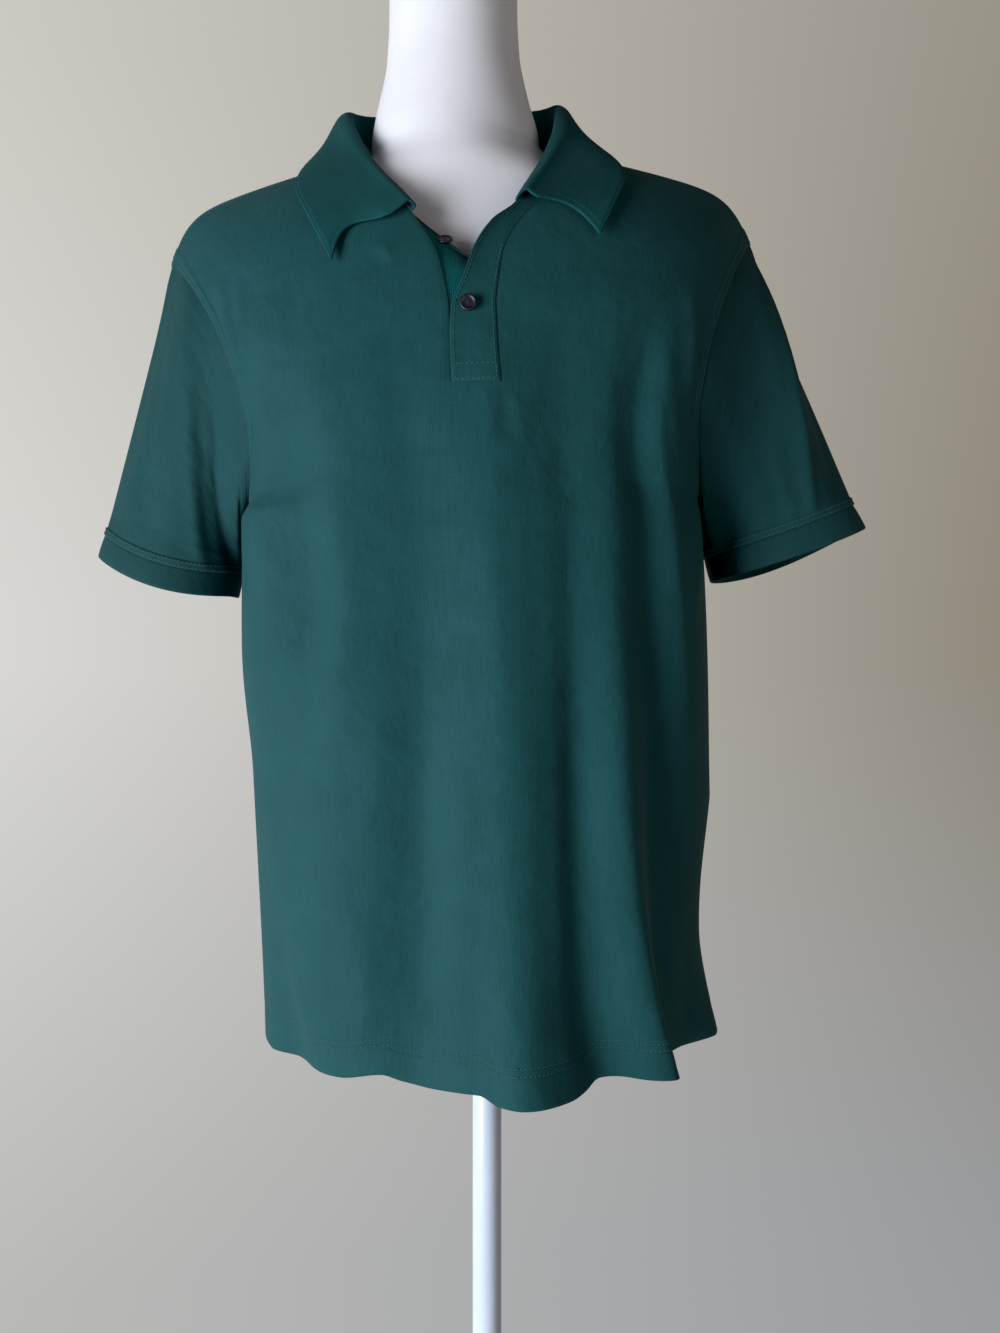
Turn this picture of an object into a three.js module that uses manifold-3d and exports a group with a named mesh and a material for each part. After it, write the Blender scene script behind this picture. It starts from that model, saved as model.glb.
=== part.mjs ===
// Polo shirt on an armless, headless dress form with a pole and a round base.
// Millimetres, +Z up, the front faces -Y, +X is the wearer's left. The origin is the centre of the base on the floor.
// The shirt is made of the pieces that are cut and sewn: front, back, two sleeves, two cuff bands, a collar,
// an upper and a lower placket band and two buttons. Each is a thin closed wall, parted from its neighbours at the seams.
import * as THREE from "three";
import Module from "manifold-3d";
import { mergeVertices } from "three/addons/utils/BufferGeometryUtils.js";

// Driving sizes.
const JERSEY = 1.5; // wall of the front, the back and the sleeves
const BAND = 2.0; // wall of the cuff bands and the collar
const PLACKET = 1.5; // wall of the placket bands
const SEAM_GAP = 0.4; // between two pieces that are sewn together
const HEM_Z = 716;
const UNDERARM_Z = 1112;
const QUARTER_GIRTH = 270; // from the centre front to a side seam, along the cloth
const GIRTH_HALF = 2 * QUARTER_GIRTH;
const CUFF_BAND = 18; // height of the cuff band
const BUTTON_R = 5.7;
const BUTTON_T = 2.4;
const POLE_R = 11.5;
const BASE_R = 170;
const BASE_T = 6;

// How the worn form leans to its right, turns a little to its left and drops one shoulder.
const LEAN = { shift: -27, from: 716, over: 724, power: 1.5, turn: 0.06, tilt: 0.035 };

// Stations of one half of the torso, from the front hem over the shoulder to the back hem.
// v is the station, xi, yi, zi the inner point (centre or neckline) and xo, yo, zo the outer one (side seam or armhole).
// round is the squareness of the section, arc the share of a quarter turn, drop how late the shoulder falls away
// and ease how gently it starts to fall. box makes the section squarer on the wearer's right front.
const STATIONS = [
  { v: 0, xi: 15, yi: -126, zi: 716, xo: 175, yo: 0, zo: 716, round: 2.2, arc: 1, drop: 0, ease: 1, box: 0 },
  { v: 100, xi: 15, yi: -128, zi: 816, xo: 176, yo: 0, zo: 816, round: 2.2, arc: 1, drop: 0, ease: 1, box: 0 },
  { v: 200, xi: 15, yi: -131, zi: 916, xo: 177, yo: 0, zo: 916, round: 2.2, arc: 1, drop: 0, ease: 1, box: 0 },
  { v: 300, xi: 15, yi: -134, zi: 1016, xo: 178, yo: 0, zo: 1016, round: 2.25, arc: 1, drop: 0, ease: 1, box: 1.2 },
  { v: 396, xi: 15, yi: -136, zi: 1112, xo: 176, yo: 0, zo: 1112, round: 2.3, arc: 1, drop: 0, ease: 1, box: 1.35 },
  { v: 430, xi: 15, yi: -136, zi: 1148, xo: 168, yo: -48, zo: 1132, round: 2.3, arc: 0.88, drop: 0, ease: 1, box: 1.1 },
  { v: 470, xi: 15, yi: -135, zi: 1192, xo: 163, yo: -76, zo: 1170, round: 2.3, arc: 0.78, drop: 0, ease: 1, box: 0.7 },
  { v: 515, xi: 15, yi: -130, zi: 1235, xo: 169, yo: -81, zo: 1210, round: 2.25, arc: 0.74, drop: 0, ease: 1, box: 0.2 },
  { v: 560, xi: 20, yi: -121, zi: 1278, xo: 184, yo: -70, zo: 1254, round: 2.2, arc: 0.72, drop: 0.1, ease: 1, box: 0 },
  { v: 600, xi: 38, yi: -107, zi: 1318, xo: 200, yo: -52, zo: 1285, round: 2.1, arc: 0.7, drop: 0.2, ease: 1, box: 0 },
  { v: 640, xi: 56, yi: -84, zi: 1352, xo: 213, yo: -34, zo: 1306, round: 2, arc: 0.66, drop: 0.3, ease: 1, box: 0 },
  { v: 675, xi: 70, yi: -56, zi: 1378, xo: 222, yo: -18, zo: 1319, round: 2, arc: 0.62, drop: 0.4, ease: 1, box: 0 },
  { v: 705, xi: 78, yi: -28, zi: 1394, xo: 229, yo: -6, zo: 1327, round: 2, arc: 0.6, drop: 0.48, ease: 1, box: 0 },
  { v: 730, xi: 81, yi: 0, zi: 1402, xo: 232, yo: 10, zo: 1329, round: 2, arc: 0.6, drop: 0.5, ease: 1, box: 0 },
  { v: 760, xi: 76, yi: 30, zi: 1408, xo: 231, yo: 26, zo: 1322, round: 2, arc: 0.6, drop: 0.42, ease: 1, box: 0 },
  { v: 800, xi: 48, yi: 54, zi: 1414, xo: 225, yo: 46, zo: 1300, round: 2, arc: 0.62, drop: 0.35, ease: 1.4, box: 0 },
  { v: 840, xi: 0, yi: 66, zi: 1417, xo: 212, yo: 62, zo: 1268, round: 2, arc: 0.66, drop: 0.28, ease: 2, box: 0 },
  { v: 885, xi: 0, yi: 90, zi: 1372, xo: 200, yo: 72, zo: 1232, round: 2.1, arc: 0.7, drop: 0.15, ease: 2, box: 0 },
  { v: 930, xi: 0, yi: 107, zi: 1326, xo: 190, yo: 74, zo: 1195, round: 2.2, arc: 0.74, drop: 0.05, ease: 2, box: 0 },
  { v: 985, xi: 0, yi: 117, zi: 1268, xo: 184, yo: 66, zo: 1162, round: 2.2, arc: 0.8, drop: 0, ease: 2, box: 0 },
  { v: 1035, xi: 0, yi: 120, zi: 1190, xo: 180, yo: 42, zo: 1130, round: 2.2, arc: 0.88, drop: 0, ease: 2, box: 0 },
  { v: 1090, xi: 0, yi: 120, zi: 1112, xo: 176, yo: 0, zo: 1112, round: 2.2, arc: 1, drop: 0, ease: 2, box: 0 },
  { v: 1186, xi: 0, yi: 118, zi: 1016, xo: 178, yo: 0, zo: 1016, round: 2.2, arc: 1, drop: 0, ease: 2, box: 0 },
  { v: 1286, xi: 0, yi: 117, zi: 916, xo: 177, yo: 0, zo: 916, round: 2.2, arc: 1, drop: 0, ease: 2, box: 0 },
  { v: 1386, xi: 0, yi: 119, zi: 816, xo: 176, yo: 0, zo: 816, round: 2.2, arc: 1, drop: 0, ease: 2, box: 0 },
  { v: 1486, xi: 0, yi: 122, zi: 716, xo: 175, yo: 0, zo: 716, round: 2.2, arc: 1, drop: 0, ease: 2, box: 0 },
];
const V_UNDERARM = 396;
const V_PLACKET = 470;
const V_NECK_CORNER = 600;
const V_RIDGE = 730;
const V_NAPE = 840;
const V_BACK_UNDERARM = 1090;
const V_BACK_HEM = 1486;
// The shoulder seam lies in front of the ridge, further on the wearer's right.
const V_SEAM = { right: 690, left: 712 };

// Folds of the sides and the back. g is the place along the girth from the centre front, positive to the wearer's left
// and 540 at the centre back; h is how far the cloth stands out and w the half width.
const FOLDS = [
  [
    { z: 1080, g: -262, h: 0, w: 60 },
    { z: 960, g: -262, h: 4, w: 50 },
    { z: 716, g: -262, h: 0, w: 40 },
  ],
  [
    { z: 900, g: 262, h: 0, w: 40 },
    { z: 800, g: 262, h: -14, w: 36 },
    { z: 716, g: 262, h: 6, w: 30 },
  ],
  [
    { z: 1000, g: 350, h: 0, w: 30 },
    { z: 850, g: 352, h: 9, w: 30 },
    { z: 716, g: 350, h: 17, w: 26 },
  ],
  [
    { z: 1060, g: 412, h: 0, w: 30 },
    { z: 880, g: 410, h: -9, w: 30 },
    { z: 716, g: 404, h: -16, w: 28 },
  ],
  [
    { z: 1120, g: 478, h: 0, w: 34 },
    { z: 900, g: 476, h: 9, w: 34 },
    { z: 716, g: 468, h: 20, w: 30 },
  ],
  [
    { z: 1090, g: -520, h: 0, w: 40 },
    { z: 900, g: -524, h: -8, w: 36 },
    { z: 716, g: -532, h: -15, w: 32 },
  ],
  [
    { z: 1120, g: -450, h: 0, w: 36 },
    { z: 900, g: -452, h: 10, w: 36 },
    { z: 716, g: -458, h: 19, w: 32 },
  ],
  [
    { z: 1010, g: -382, h: 0, w: 30 },
    { z: 860, g: -382, h: -7, w: 30 },
    { z: 716, g: -380, h: -13, w: 28 },
  ],
  [
    { z: 950, g: -318, h: 0, w: 30 },
    { z: 716, g: -314, h: 9, w: 28 },
  ],
];

// The front's ridges and valleys from the wearer's right to the left, each as a line down the cloth: height z, place
// along the girth g and how far the cloth stands out h.
const LINES = {
  sideRight: [
    { z: 1250, g: -240, h: 0 },
    { z: 716, g: -240, h: 0 },
  ],
  sideCorner: [
    { z: 1230, g: -200, h: 0 },
    { z: 1110, g: -195, h: -4 },
    { z: 1045, g: -195, h: -5 },
    { z: 978, g: -200, h: -2 },
    { z: 911, g: -205, h: 0 },
    { z: 716, g: -205, h: 0 },
  ],
  hollowBySide: [
    { z: 1230, g: -150, h: 0 },
    { z: 1180, g: -142, h: -4 },
    { z: 1110, g: -134, h: -12 },
    { z: 1045, g: -130, h: -17 },
    { z: 978, g: -142, h: -12 },
    { z: 911, g: -166, h: -2 },
    { z: 843, g: -180, h: 2 },
    { z: 716, g: -170, h: -10 },
  ],
  firstRidge: [
    { z: 1250, g: -100, h: 0 },
    { z: 1180, g: -96, h: 0 },
    { z: 1110, g: -92, h: -3 },
    { z: 1045, g: -90, h: -6 },
    { z: 978, g: -104, h: -4 },
    { z: 911, g: -124, h: 3 },
    { z: 843, g: -134, h: 6 },
    { z: 776, g: -140, h: 7 },
    { z: 716, g: -118, h: 1 },
  ],
  firstSlope: [
    { z: 1250, g: -70, h: 0 },
    { z: 1180, g: -66, h: -1 },
    { z: 1110, g: -64, h: -5 },
    { z: 1045, g: -66, h: -8 },
    { z: 978, g: -74, h: -6 },
    { z: 911, g: -80, h: -3 },
    { z: 843, g: -84, h: -2 },
    { z: 776, g: -88, h: 0 },
    { z: 716, g: -92, h: 0 },
  ],
  firstValley: [
    { z: 1250, g: -42, h: 0 },
    { z: 1180, g: -42, h: -3 },
    { z: 1110, g: -38, h: -7 },
    { z: 1045, g: -36, h: -10 },
    { z: 978, g: -38, h: -12 },
    { z: 911, g: -42, h: -13 },
    { z: 843, g: -44, h: -12 },
    { z: 776, g: -47, h: -9 },
    { z: 716, g: -54, h: -5 },
  ],
  middleRise: [
    { z: 1250, g: -20, h: 0 },
    { z: 1110, g: -10, h: -1 },
    { z: 1045, g: -10, h: -2 },
    { z: 978, g: -11, h: -2 },
    { z: 911, g: -13, h: -1 },
    { z: 843, g: -15, h: -1 },
    { z: 776, g: -16, h: 0 },
    { z: 716, g: -14, h: 6 },
  ],
  middleRidge: [
    { z: 1250, g: 10, h: 0 },
    { z: 1110, g: 8, h: 1 },
    { z: 1045, g: 7, h: 2 },
    { z: 978, g: 10, h: 3 },
    { z: 911, g: 12, h: 4 },
    { z: 843, g: 12, h: 5 },
    { z: 776, g: 14, h: 9 },
    { z: 716, g: 17, h: 18 },
  ],
  middleSlope: [
    { z: 1250, g: 30, h: 0 },
    { z: 1180, g: 28, h: -4 },
    { z: 1110, g: 34, h: -4 },
    { z: 1045, g: 36, h: -4 },
    { z: 911, g: 38, h: -4 },
    { z: 843, g: 38, h: -3 },
    { z: 776, g: 38, h: -1 },
    { z: 716, g: 44, h: 6 },
  ],
  secondValley: [
    { z: 1250, g: 60, h: 0 },
    { z: 1180, g: 58, h: -9 },
    { z: 1110, g: 58, h: -9 },
    { z: 1045, g: 56, h: -9 },
    { z: 978, g: 57, h: -11 },
    { z: 911, g: 58, h: -13 },
    { z: 843, g: 60, h: -14 },
    { z: 776, g: 64, h: -15 },
    { z: 716, g: 72, h: -11 },
  ],
  secondRidge: [
    { z: 1250, g: 90, h: 0 },
    { z: 1180, g: 90, h: -8 },
    { z: 1110, g: 88, h: -6 },
    { z: 1045, g: 86, h: -5 },
    { z: 978, g: 90, h: -3 },
    { z: 911, g: 92, h: -1 },
    { z: 843, g: 98, h: 0 },
    { z: 776, g: 110, h: 4 },
    { z: 716, g: 128, h: 10 },
  ],
  thirdValley: [
    { z: 1250, g: 124, h: 0 },
    { z: 1180, g: 122, h: -11 },
    { z: 1110, g: 126, h: -13 },
    { z: 1045, g: 130, h: -15 },
    { z: 978, g: 133, h: -17 },
    { z: 911, g: 136, h: -18 },
    { z: 843, g: 138, h: -19 },
    { z: 776, g: 142, h: -20 },
    { z: 716, g: 148, h: -22 },
  ],
  thirdRidge: [
    { z: 1250, g: 150, h: 0 },
    { z: 1180, g: 148, h: -3 },
    { z: 1110, g: 152, h: -2 },
    { z: 1045, g: 162, h: -3 },
    { z: 978, g: 174, h: -5 },
    { z: 911, g: 182, h: -10 },
    { z: 843, g: 185, h: -14 },
    { z: 776, g: 190, h: -16 },
    { z: 716, g: 190, h: -20 },
  ],
  sideLeft: [
    { z: 1250, g: 240, h: 0 },
    { z: 911, g: 240, h: 0 },
    { z: 716, g: 240, h: 0 },
  ],
};

// Where the front's hem hangs lower or higher than the level edge: place along the girth and drop.
const HEM_DROP = [
  { g: -540, drop: 0 },
  { g: -270, drop: 0 },
  { g: -110, drop: 0 },
  { g: -75, drop: -5 },
  { g: -60, drop: -1 },
  { g: -37, drop: 2 },
  { g: -11, drop: 2 },
  { g: 1, drop: 7 },
  { g: 18, drop: 8 },
  { g: 36, drop: 8 },
  { g: 60, drop: 6 },
  { g: 73, drop: 0 },
  { g: 87, drop: -1 },
  { g: 107, drop: 1 },
  { g: 130, drop: 2 },
  { g: 160, drop: 0 },
  { g: 540, drop: 0 },
];
const HEM_REACH = 90; // how far above the hem it starts

// A sleeve's end seam: its centre, the half widths across and front to back, the way its outer point and its mouth face,
// and how far its front and back rims hang below the flat ring. flare is how much wider the band's free edge is, lean the
// way it hangs from the shoulder, turnDown how soon it turns that way and bulge how stiffly it does.
const SLEEVES = {
  right: { side: -1, cx: 240, cy: 2, cz: 1092, half: 56, deep: 46, up: 18, out: 16, front: 12, back: 2, flare: 0.02, lean: 13, turnDown: 0.6, bulge: 0.6 },
  left: { side: 1, cx: 244, cy: 2, cz: 1104, half: 62, deep: 41, up: 18, out: 21, front: 2, back: 8, flare: 0.04, lean: 19, turnDown: 0.93, bulge: 0.45 },
};
// Creases down a sleeve: angle from the underarm through the front, height and half width in degrees.
const SLEEVE_FOLDS = {
  right: [
    { at: 108, end: 92, h: 7, w: 22 },
    { at: 62, end: 52, h: -7, w: 22 },
    { at: 262, end: 268, h: 5, w: 26 },
  ],
  left: [
    { at: 130, end: 118, h: 7, w: 24 },
    { at: 84, end: 74, h: -4, w: 24 },
    { at: 262, end: 268, h: 5, w: 26 },
  ],
};

// The collar's roll line and free edge, from the centre back (u 0) to the front end (u 1). The edge is a place on the
// torso, and off is its clearance from the cloth below.
// How far the ends of the collar hang further down and out, and how far their inner corners lie lower and further in.
const COLLAR_END = {
  right: { drop: 14, out: 0.03, inner: 4, lower: 5 },
  left: { drop: 2, out: 0, inner: 0, lower: 0 },
};
const ROLL = [
  { u: 0, x: 0, y: 71, z: 1470 },
  { u: 0.25, x: 52, y: 60, z: 1470 },
  { u: 0.42, x: 80, y: 34, z: 1461 },
  { u: 0.55, x: 84, y: 2, z: 1445 },
  { u: 0.68, x: 79, y: -32, z: 1414 },
  { u: 0.82, x: 64, y: -68, z: 1372 },
  { u: 1, x: 40, y: -111, z: 1325 },
];
const EDGE = [
  { u: 0, v: 856, f: 0, off: 5 },
  { u: 0.25, v: 830, f: 0.165, off: 5 },
  { u: 0.42, v: 793, f: 0.17, off: 2.5 },
  { u: 0.55, v: 741, f: 0.165, off: 1.5 },
  { u: 0.68, v: 699, f: 0.225, off: 1.5 },
  { u: 0.82, v: 645, f: 0.315, off: 1.5 },
  { u: 1, v: 585, f: 0.285, off: 3 },
];

// The placket bands: left and right edges at each height, and how far each stands off the front.
const UPPER_BAND = [
  { z: 1190, left: -15, right: 17, leftOff: 2.3, rightOff: 2.3 },
  { z: 1216, left: -15, right: 16, leftOff: 2.4, rightOff: 2.3 },
  { z: 1242, left: -13, right: 16, leftOff: 2.8, rightOff: 2.4 },
  { z: 1262, left: -4, right: 19, leftOff: 4, rightOff: 2.4 },
  { z: 1284, left: 5, right: 24, leftOff: 6, rightOff: 2.4 },
  { z: 1303, left: 18, right: 34, leftOff: 7, rightOff: 2.4 },
  { z: 1316, left: 33, right: 40, leftOff: 5, rightOff: 2.4 },
];
const LOWER_BAND = [
  { z: 1194, left: -17, right: 13, leftOff: -3, rightOff: -3 },
  { z: 1222, left: -18, right: 13, leftOff: -3, rightOff: -3 },
  { z: 1246, left: -19, right: 12, leftOff: -3, rightOff: -3 },
  { z: 1268, left: -22, right: 9, leftOff: -3, rightOff: -4 },
  { z: 1286, left: -29, right: 2, leftOff: -3, rightOff: -6 },
  { z: 1300, left: -27, right: -5, leftOff: -12, rightOff: -14 },
];

// The dress form: half width, front and back of each level section.
const FORM = [
  { z: 778, half: 146, front: 88, back: 84, round: 2.2, pinch: 0 },
  { z: 784, half: 151, front: 93, back: 89, round: 2.2, pinch: 0 },
  { z: 850, half: 155, front: 98, back: 94, round: 2.2, pinch: 0 },
  { z: 940, half: 142, front: 96, back: 92, round: 2.15, pinch: 0 },
  { z: 1020, half: 146, front: 104, back: 94, round: 2.15, pinch: 0 },
  { z: 1112, half: 158, front: 119, back: 106, round: 2.2, pinch: 0 },
  { z: 1180, half: 160, front: 121, back: 110, round: 2.2, pinch: 0 },
  { z: 1240, half: 166, front: 113, back: 108, round: 2.15, pinch: 0 },
  { z: 1290, half: 196, front: 96, back: 98, round: 2, pinch: 0 },
  { z: 1330, half: 208, front: 85, back: 84, round: 1.95, pinch: 0.15 },
  { z: 1356, half: 204, front: 78, back: 74, round: 2, pinch: 0.55 },
  { z: 1374, half: 150, front: 74, back: 60, round: 2, pinch: 0.97 },
  { z: 1388, half: 99, front: 69.5, back: 50, round: 2, pinch: 0.65 },
  { z: 1402, half: 68, front: 65.5, back: 46, round: 2, pinch: 0.1 },
  { z: 1420, half: 66, front: 61.5, back: 48, round: 2, pinch: 0 },
  { z: 1445, half: 60, front: 58.5, back: 46, round: 2, pinch: 0 },
  { z: 1480, half: 53, front: 57, back: 39, round: 2, pinch: 0 },
  { z: 1520, half: 51, front: 59, back: 35, round: 2, pinch: 0 },
  { z: 1546, half: 51, front: 61, back: 34, round: 2, pinch: 0 },
  { z: 1553, half: 49, front: 59, back: 32, round: 2, pinch: 0 },
  { z: 1556, half: 43, front: 53, back: 26, round: 2, pinch: 0 },
];

const DEG = Math.PI / 180;
const mix = (a, b, t) => a + (b - a) * t;
const clamp01 = (t) => Math.min(1, Math.max(0, t));
const cosine = (turn) => Math.max(0, Math.cos(turn));
const smooth = (t) => clamp01(t) ** 2 * (3 - 2 * clamp01(t));
const vec = (x, y, z) => new THREE.Vector3(x, y, z);

// All columns of a table at a place between its rows, on a smooth curve that doesn't swing past a row.
function between(table, key, at) {
  const rising = table[table.length - 1][key] > table[0][key];
  const order = rising ? table : [...table].reverse();
  const x = Math.min(Math.max(at, order[0][key]), order[order.length - 1][key]);
  const i = Math.max(0, order.findIndex((row, n) => n > 0 && x <= row[key]) - 1);
  const [a, b] = [order[i], order[i + 1]];
  const span = b[key] - a[key];
  const t = (x - a[key]) / span;
  const [t2, t3] = [t * t, t * t * t];
  const slope = (from, to, column) => (to[column] - from[column]) / (to[key] - from[key]);
  const tangent = (before, row, after, column) => {
    const left = slope(before ?? row, before ? row : after, column);
    const right = slope(after ? row : before, after ?? row, column);
    return left * right > 0 ? (2 * left * right) / (left + right) : 0;
  };
  const out = {};
  for (const column of Object.keys(a)) {
    out[column] =
      (2 * t3 - 3 * t2 + 1) * a[column] +
      (t3 - 2 * t2 + t) * span * tangent(order[i - 1], a, b, column) +
      (3 * t2 - 2 * t3) * b[column] +
      (t3 - t2) * span * tangent(a, b, order[i + 2], column);
  }
  return out;
}

function leaned(p) {
  const share = clamp01((p.z - LEAN.from) / LEAN.over);
  const drop = LEAN.tilt * smooth((p.z - 1000) / 250);
  return vec(p.x + LEAN.shift * share ** LEAN.power - LEAN.turn * p.y, p.y, p.z + p.x * drop);
}

// How far the front stands out between its ridges and valleys, on curves that don't swing past them.
function frontLift(g, z) {
  const marks = Object.values(LINES).map((line) => between(line, "z", z));
  if (g <= marks[0].g || g >= marks[marks.length - 1].g) return 0;
  return between(marks, "g", g).h;
}

// How far the folds lift the cloth at a place along the girth and a height.
function foldHeight(g, z) {
  let sum = frontLift(g, z);
  for (const fold of FOLDS) {
    if (z >= fold[0].z) continue;
    const row = between(fold, "z", z);
    const far = ((g - row.g + 3 * GIRTH_HALF) % (2 * GIRTH_HALF)) - GIRTH_HALF;
    sum += row.h * Math.exp(-((far / row.w) ** 2));
  }
  return sum;
}

// The place along the girth of a share of the half width, whether the front is boxy there or not.
function girthOf(across, row) {
  const full = row.arc * 90 * DEG;
  const turn = Math.asin(Math.min(1, across ** (row.round / 2) * Math.sin(full)));
  return (turn / (90 * DEG)) * (QUARTER_GIRTH - row.xi) + row.xi;
}

function hemDrop(g, z) {
  return between(HEM_DROP, "g", g).drop * smooth((HEM_Z + HEM_REACH - z) / HEM_REACH);
}

// A point of the cloth's outer face on one half of the torso: station v, share f from the centre to the side.
function torso(side, v, f) {
  const row = between(STATIONS, "v", v);
  const full = row.arc * 90 * DEG;
  const turn = f * full;
  const power = 2 / (row.round + (side < 0 ? row.box : 0));
  const across = (Math.sin(turn) / Math.sin(full)) ** power;
  const inward = (1 - cosine(turn) ** power) / (1 - cosine(full) ** power);
  const fall = mix(across ** row.ease, across ** 12, row.drop);
  const x = mix(row.xi, row.xo, across);
  const y = mix(row.yi, row.yo, inward);
  const z = mix(row.zi, row.zo, fall);
  const front = v < V_RIDGE;
  const g = side * (front ? girthOf(across, row) : 2 * QUARTER_GIRTH - girthOf(across, row));
  const lift = foldHeight(g, z);
  const out = vec(Math.sin(turn), (front ? -1 : 1) * Math.cos(turn), 0).multiplyScalar(lift);
  return leaned(vec(side * (x + out.x), y + out.y, z - hemDrop(g, z)));
}

// An open sheet of quads and the places of its points.
class Sheet {
  constructor() {
    this.points = [];
    this.quads = [];
  }
  // rows of points, each row as long as the first; around joins the last column to the first
  grid(rows, around = false) {
    const start = this.points.length;
    const width = rows[0].length;
    rows.forEach((row) => this.points.push(...row));
    const columns = around ? width : width - 1;
    for (let r = 0; r + 1 < rows.length; r++) {
      for (let c = 0; c < columns; c++) {
        const next = (c + 1) % width;
        const at = (row, col) => start + row * width + col;
        this.quads.push([at(r, c), at(r, next), at(r + 1, next), at(r + 1, c)]);
      }
    }
    return this;
  }
  // joins points that lie in the same place, such as where two grids share an edge
  welded() {
    const seen = new Map();
    const kept = [];
    const index = this.points.map((p) => {
      const key = [p.x, p.y, p.z].map((n) => Math.round(n * 1000)).join();
      if (!seen.has(key)) seen.set(key, kept.push(p) - 1);
      return seen.get(key);
    });
    this.points = kept;
    this.quads = this.quads.map((quad) => quad.map((i) => index[i]));
    return this;
  }
  normals() {
    const sum = this.points.map(() => vec(0, 0, 0));
    for (const [a, b, c, d] of this.quads) {
      const across = this.points[c].clone().sub(this.points[a]);
      const along = this.points[d].clone().sub(this.points[b]);
      const face = across.cross(along);
      for (const i of [a, b, c, d]) sum[i].add(face);
    }
    return sum.map((n) => n.normalize());
  }
}

// The closed wall behind a sheet: the sheet is its outer face, and its inner face is thick further in.
function wall(sheet, thick) {
  const { points, quads } = sheet;
  const normals = sheet.normals();
  const inner = points.map((p, i) => p.clone().addScaledVector(normals[i], -thick));
  const count = points.length;
  const position = [...points, ...inner].flatMap((p) => [p.x, p.y, p.z]);
  const index = [];
  const edges = new Map();
  for (const [a, b, c, d] of quads) {
    index.push(a, b, c, a, c, d);
    index.push(a + count, c + count, b + count, a + count, d + count, c + count);
    for (const [from, to] of [[a, b], [b, c], [c, d], [d, a]]) edges.set(`${from},${to}`, [from, to]);
  }
  for (const [from, to] of edges.values()) {
    if (edges.has(`${to},${from}`)) continue;
    index.push(to, from, from + count, to, from + count, to + count);
  }
  const geometry = new THREE.BufferGeometry();
  geometry.setAttribute("position", new THREE.Float32BufferAttribute(position, 3));
  geometry.setIndex(index);
  geometry.computeVertexNormals();
  return geometry;
}

const steps = (from, to, count) => Array.from({ length: count + 1 }, (_, i) => mix(from, to, i / count));
const bump = (far, wide) => Math.exp(-((far / wide) ** 2));
// Moves a point a little towards another, to open a seam.
const drawn = (p, towards, by) => p.clone().add(towards.clone().sub(p).setLength(by));

// Stations between two places, closer together where the table's rows are.
function stationsOf(from, to, extra) {
  const rows = STATIONS.map((row) => row.v).filter((v) => v > from + 6 && v < to - 6);
  const more = extra.filter((v) => v > from + 6 && v < to - 6);
  return [from, ...new Set([...rows, ...more]), to].sort((a, b) => a - b);
}

// One station of a panel on one side, from the neckline or centre to the side seam or armhole, with its seams open.
function panelRow(side, v, columns) {
  const quarter = SEAM_GAP / 2 / QUARTER_GIRTH;
  return steps(0, 1 - quarter, columns).map((f) => torso(side, v, f));
}

function frontCentre(v, columns) {
  const row = between(STATIONS, "v", v);
  return steps(-row.xi, row.xi, columns).map((x) => {
    const lift = foldHeight(x, row.zi);
    return leaned(vec(x, row.yi - lift, row.zi - hemDrop(x, row.zi)));
  });
}

function frontPanel() {
  const sheet = new Sheet();
  const columns = { [-1]: 17, 1: 27 }; // the sharpest folds hang on the wearer's left
  const low = stationsOf(0, V_PLACKET, [50, 150, 250, 350]);
  sheet.grid(
    low.map((v) => [
      ...panelRow(-1, v, columns[-1]).reverse(),
      ...frontCentre(v, 2).slice(1, -1),
      ...panelRow(1, v, columns[1]),
    ]),
  );
  for (const side of [-1, 1]) {
    const top = side < 0 ? V_SEAM.right : V_SEAM.left;
    const rows = stationsOf(V_PLACKET, top, []).map((v) => panelRow(side, v, columns[side]));
    sheet.grid(side < 0 ? rows.map((row) => row.reverse()) : rows);
  }
  return wall(sheet.welded(), JERSEY);
}

function backPanel() {
  const sheet = new Sheet();
  const columns = 17;
  for (const side of [-1, 1]) {
    const top = (side < 0 ? V_SEAM.right : V_SEAM.left) + 2 * SEAM_GAP;
    const rows = stationsOf(top, V_BACK_HEM, [1236, 1336, 1436]).map((v) => panelRow(side, v, columns));
    sheet.grid(side < 0 ? rows.map((row) => row.reverse()) : rows);
  }
  return wall(sheet.welded(), JERSEY);
}

// A point of the ring where a sleeve or its cuff ends; by is how far down the axis from the sleeve's end it lies.
function ring(sleeve, turn, by, scale = 1) {
  const { side, up, out, half, deep } = sleeve;
  const outer = vec(side * Math.cos(up * DEG), 0, Math.sin(up * DEG));
  const axis = vec(side * Math.sin(out * DEG), 0, -Math.cos(out * DEG));
  const across = -Math.cos(turn);
  const front = Math.sin(turn);
  const hang = (front > 0 ? sleeve.front : sleeve.back) * front ** 2;
  return vec(side * sleeve.cx, sleeve.cy, sleeve.cz)
    .addScaledVector(axis, by)
    .addScaledVector(outer, across * half * scale)
    .add(vec(0, -front * deep * scale, -hang));
}

// A point of a panel's edge, on the straight stretch between two of the panel's stations.
function panelEdge(side, v, f) {
  const top = side < 0 ? V_SEAM.right : V_SEAM.left;
  const order = [...STATIONS.map((row) => row.v), top].sort((a, b) => a - b);
  const next = Math.max(1, order.findIndex((station) => station >= v));
  const [a, b] = [order[next - 1], order[next]];
  return torso(side, a, f).lerp(torso(side, b, f), (v - a) / (b - a));
}

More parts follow.
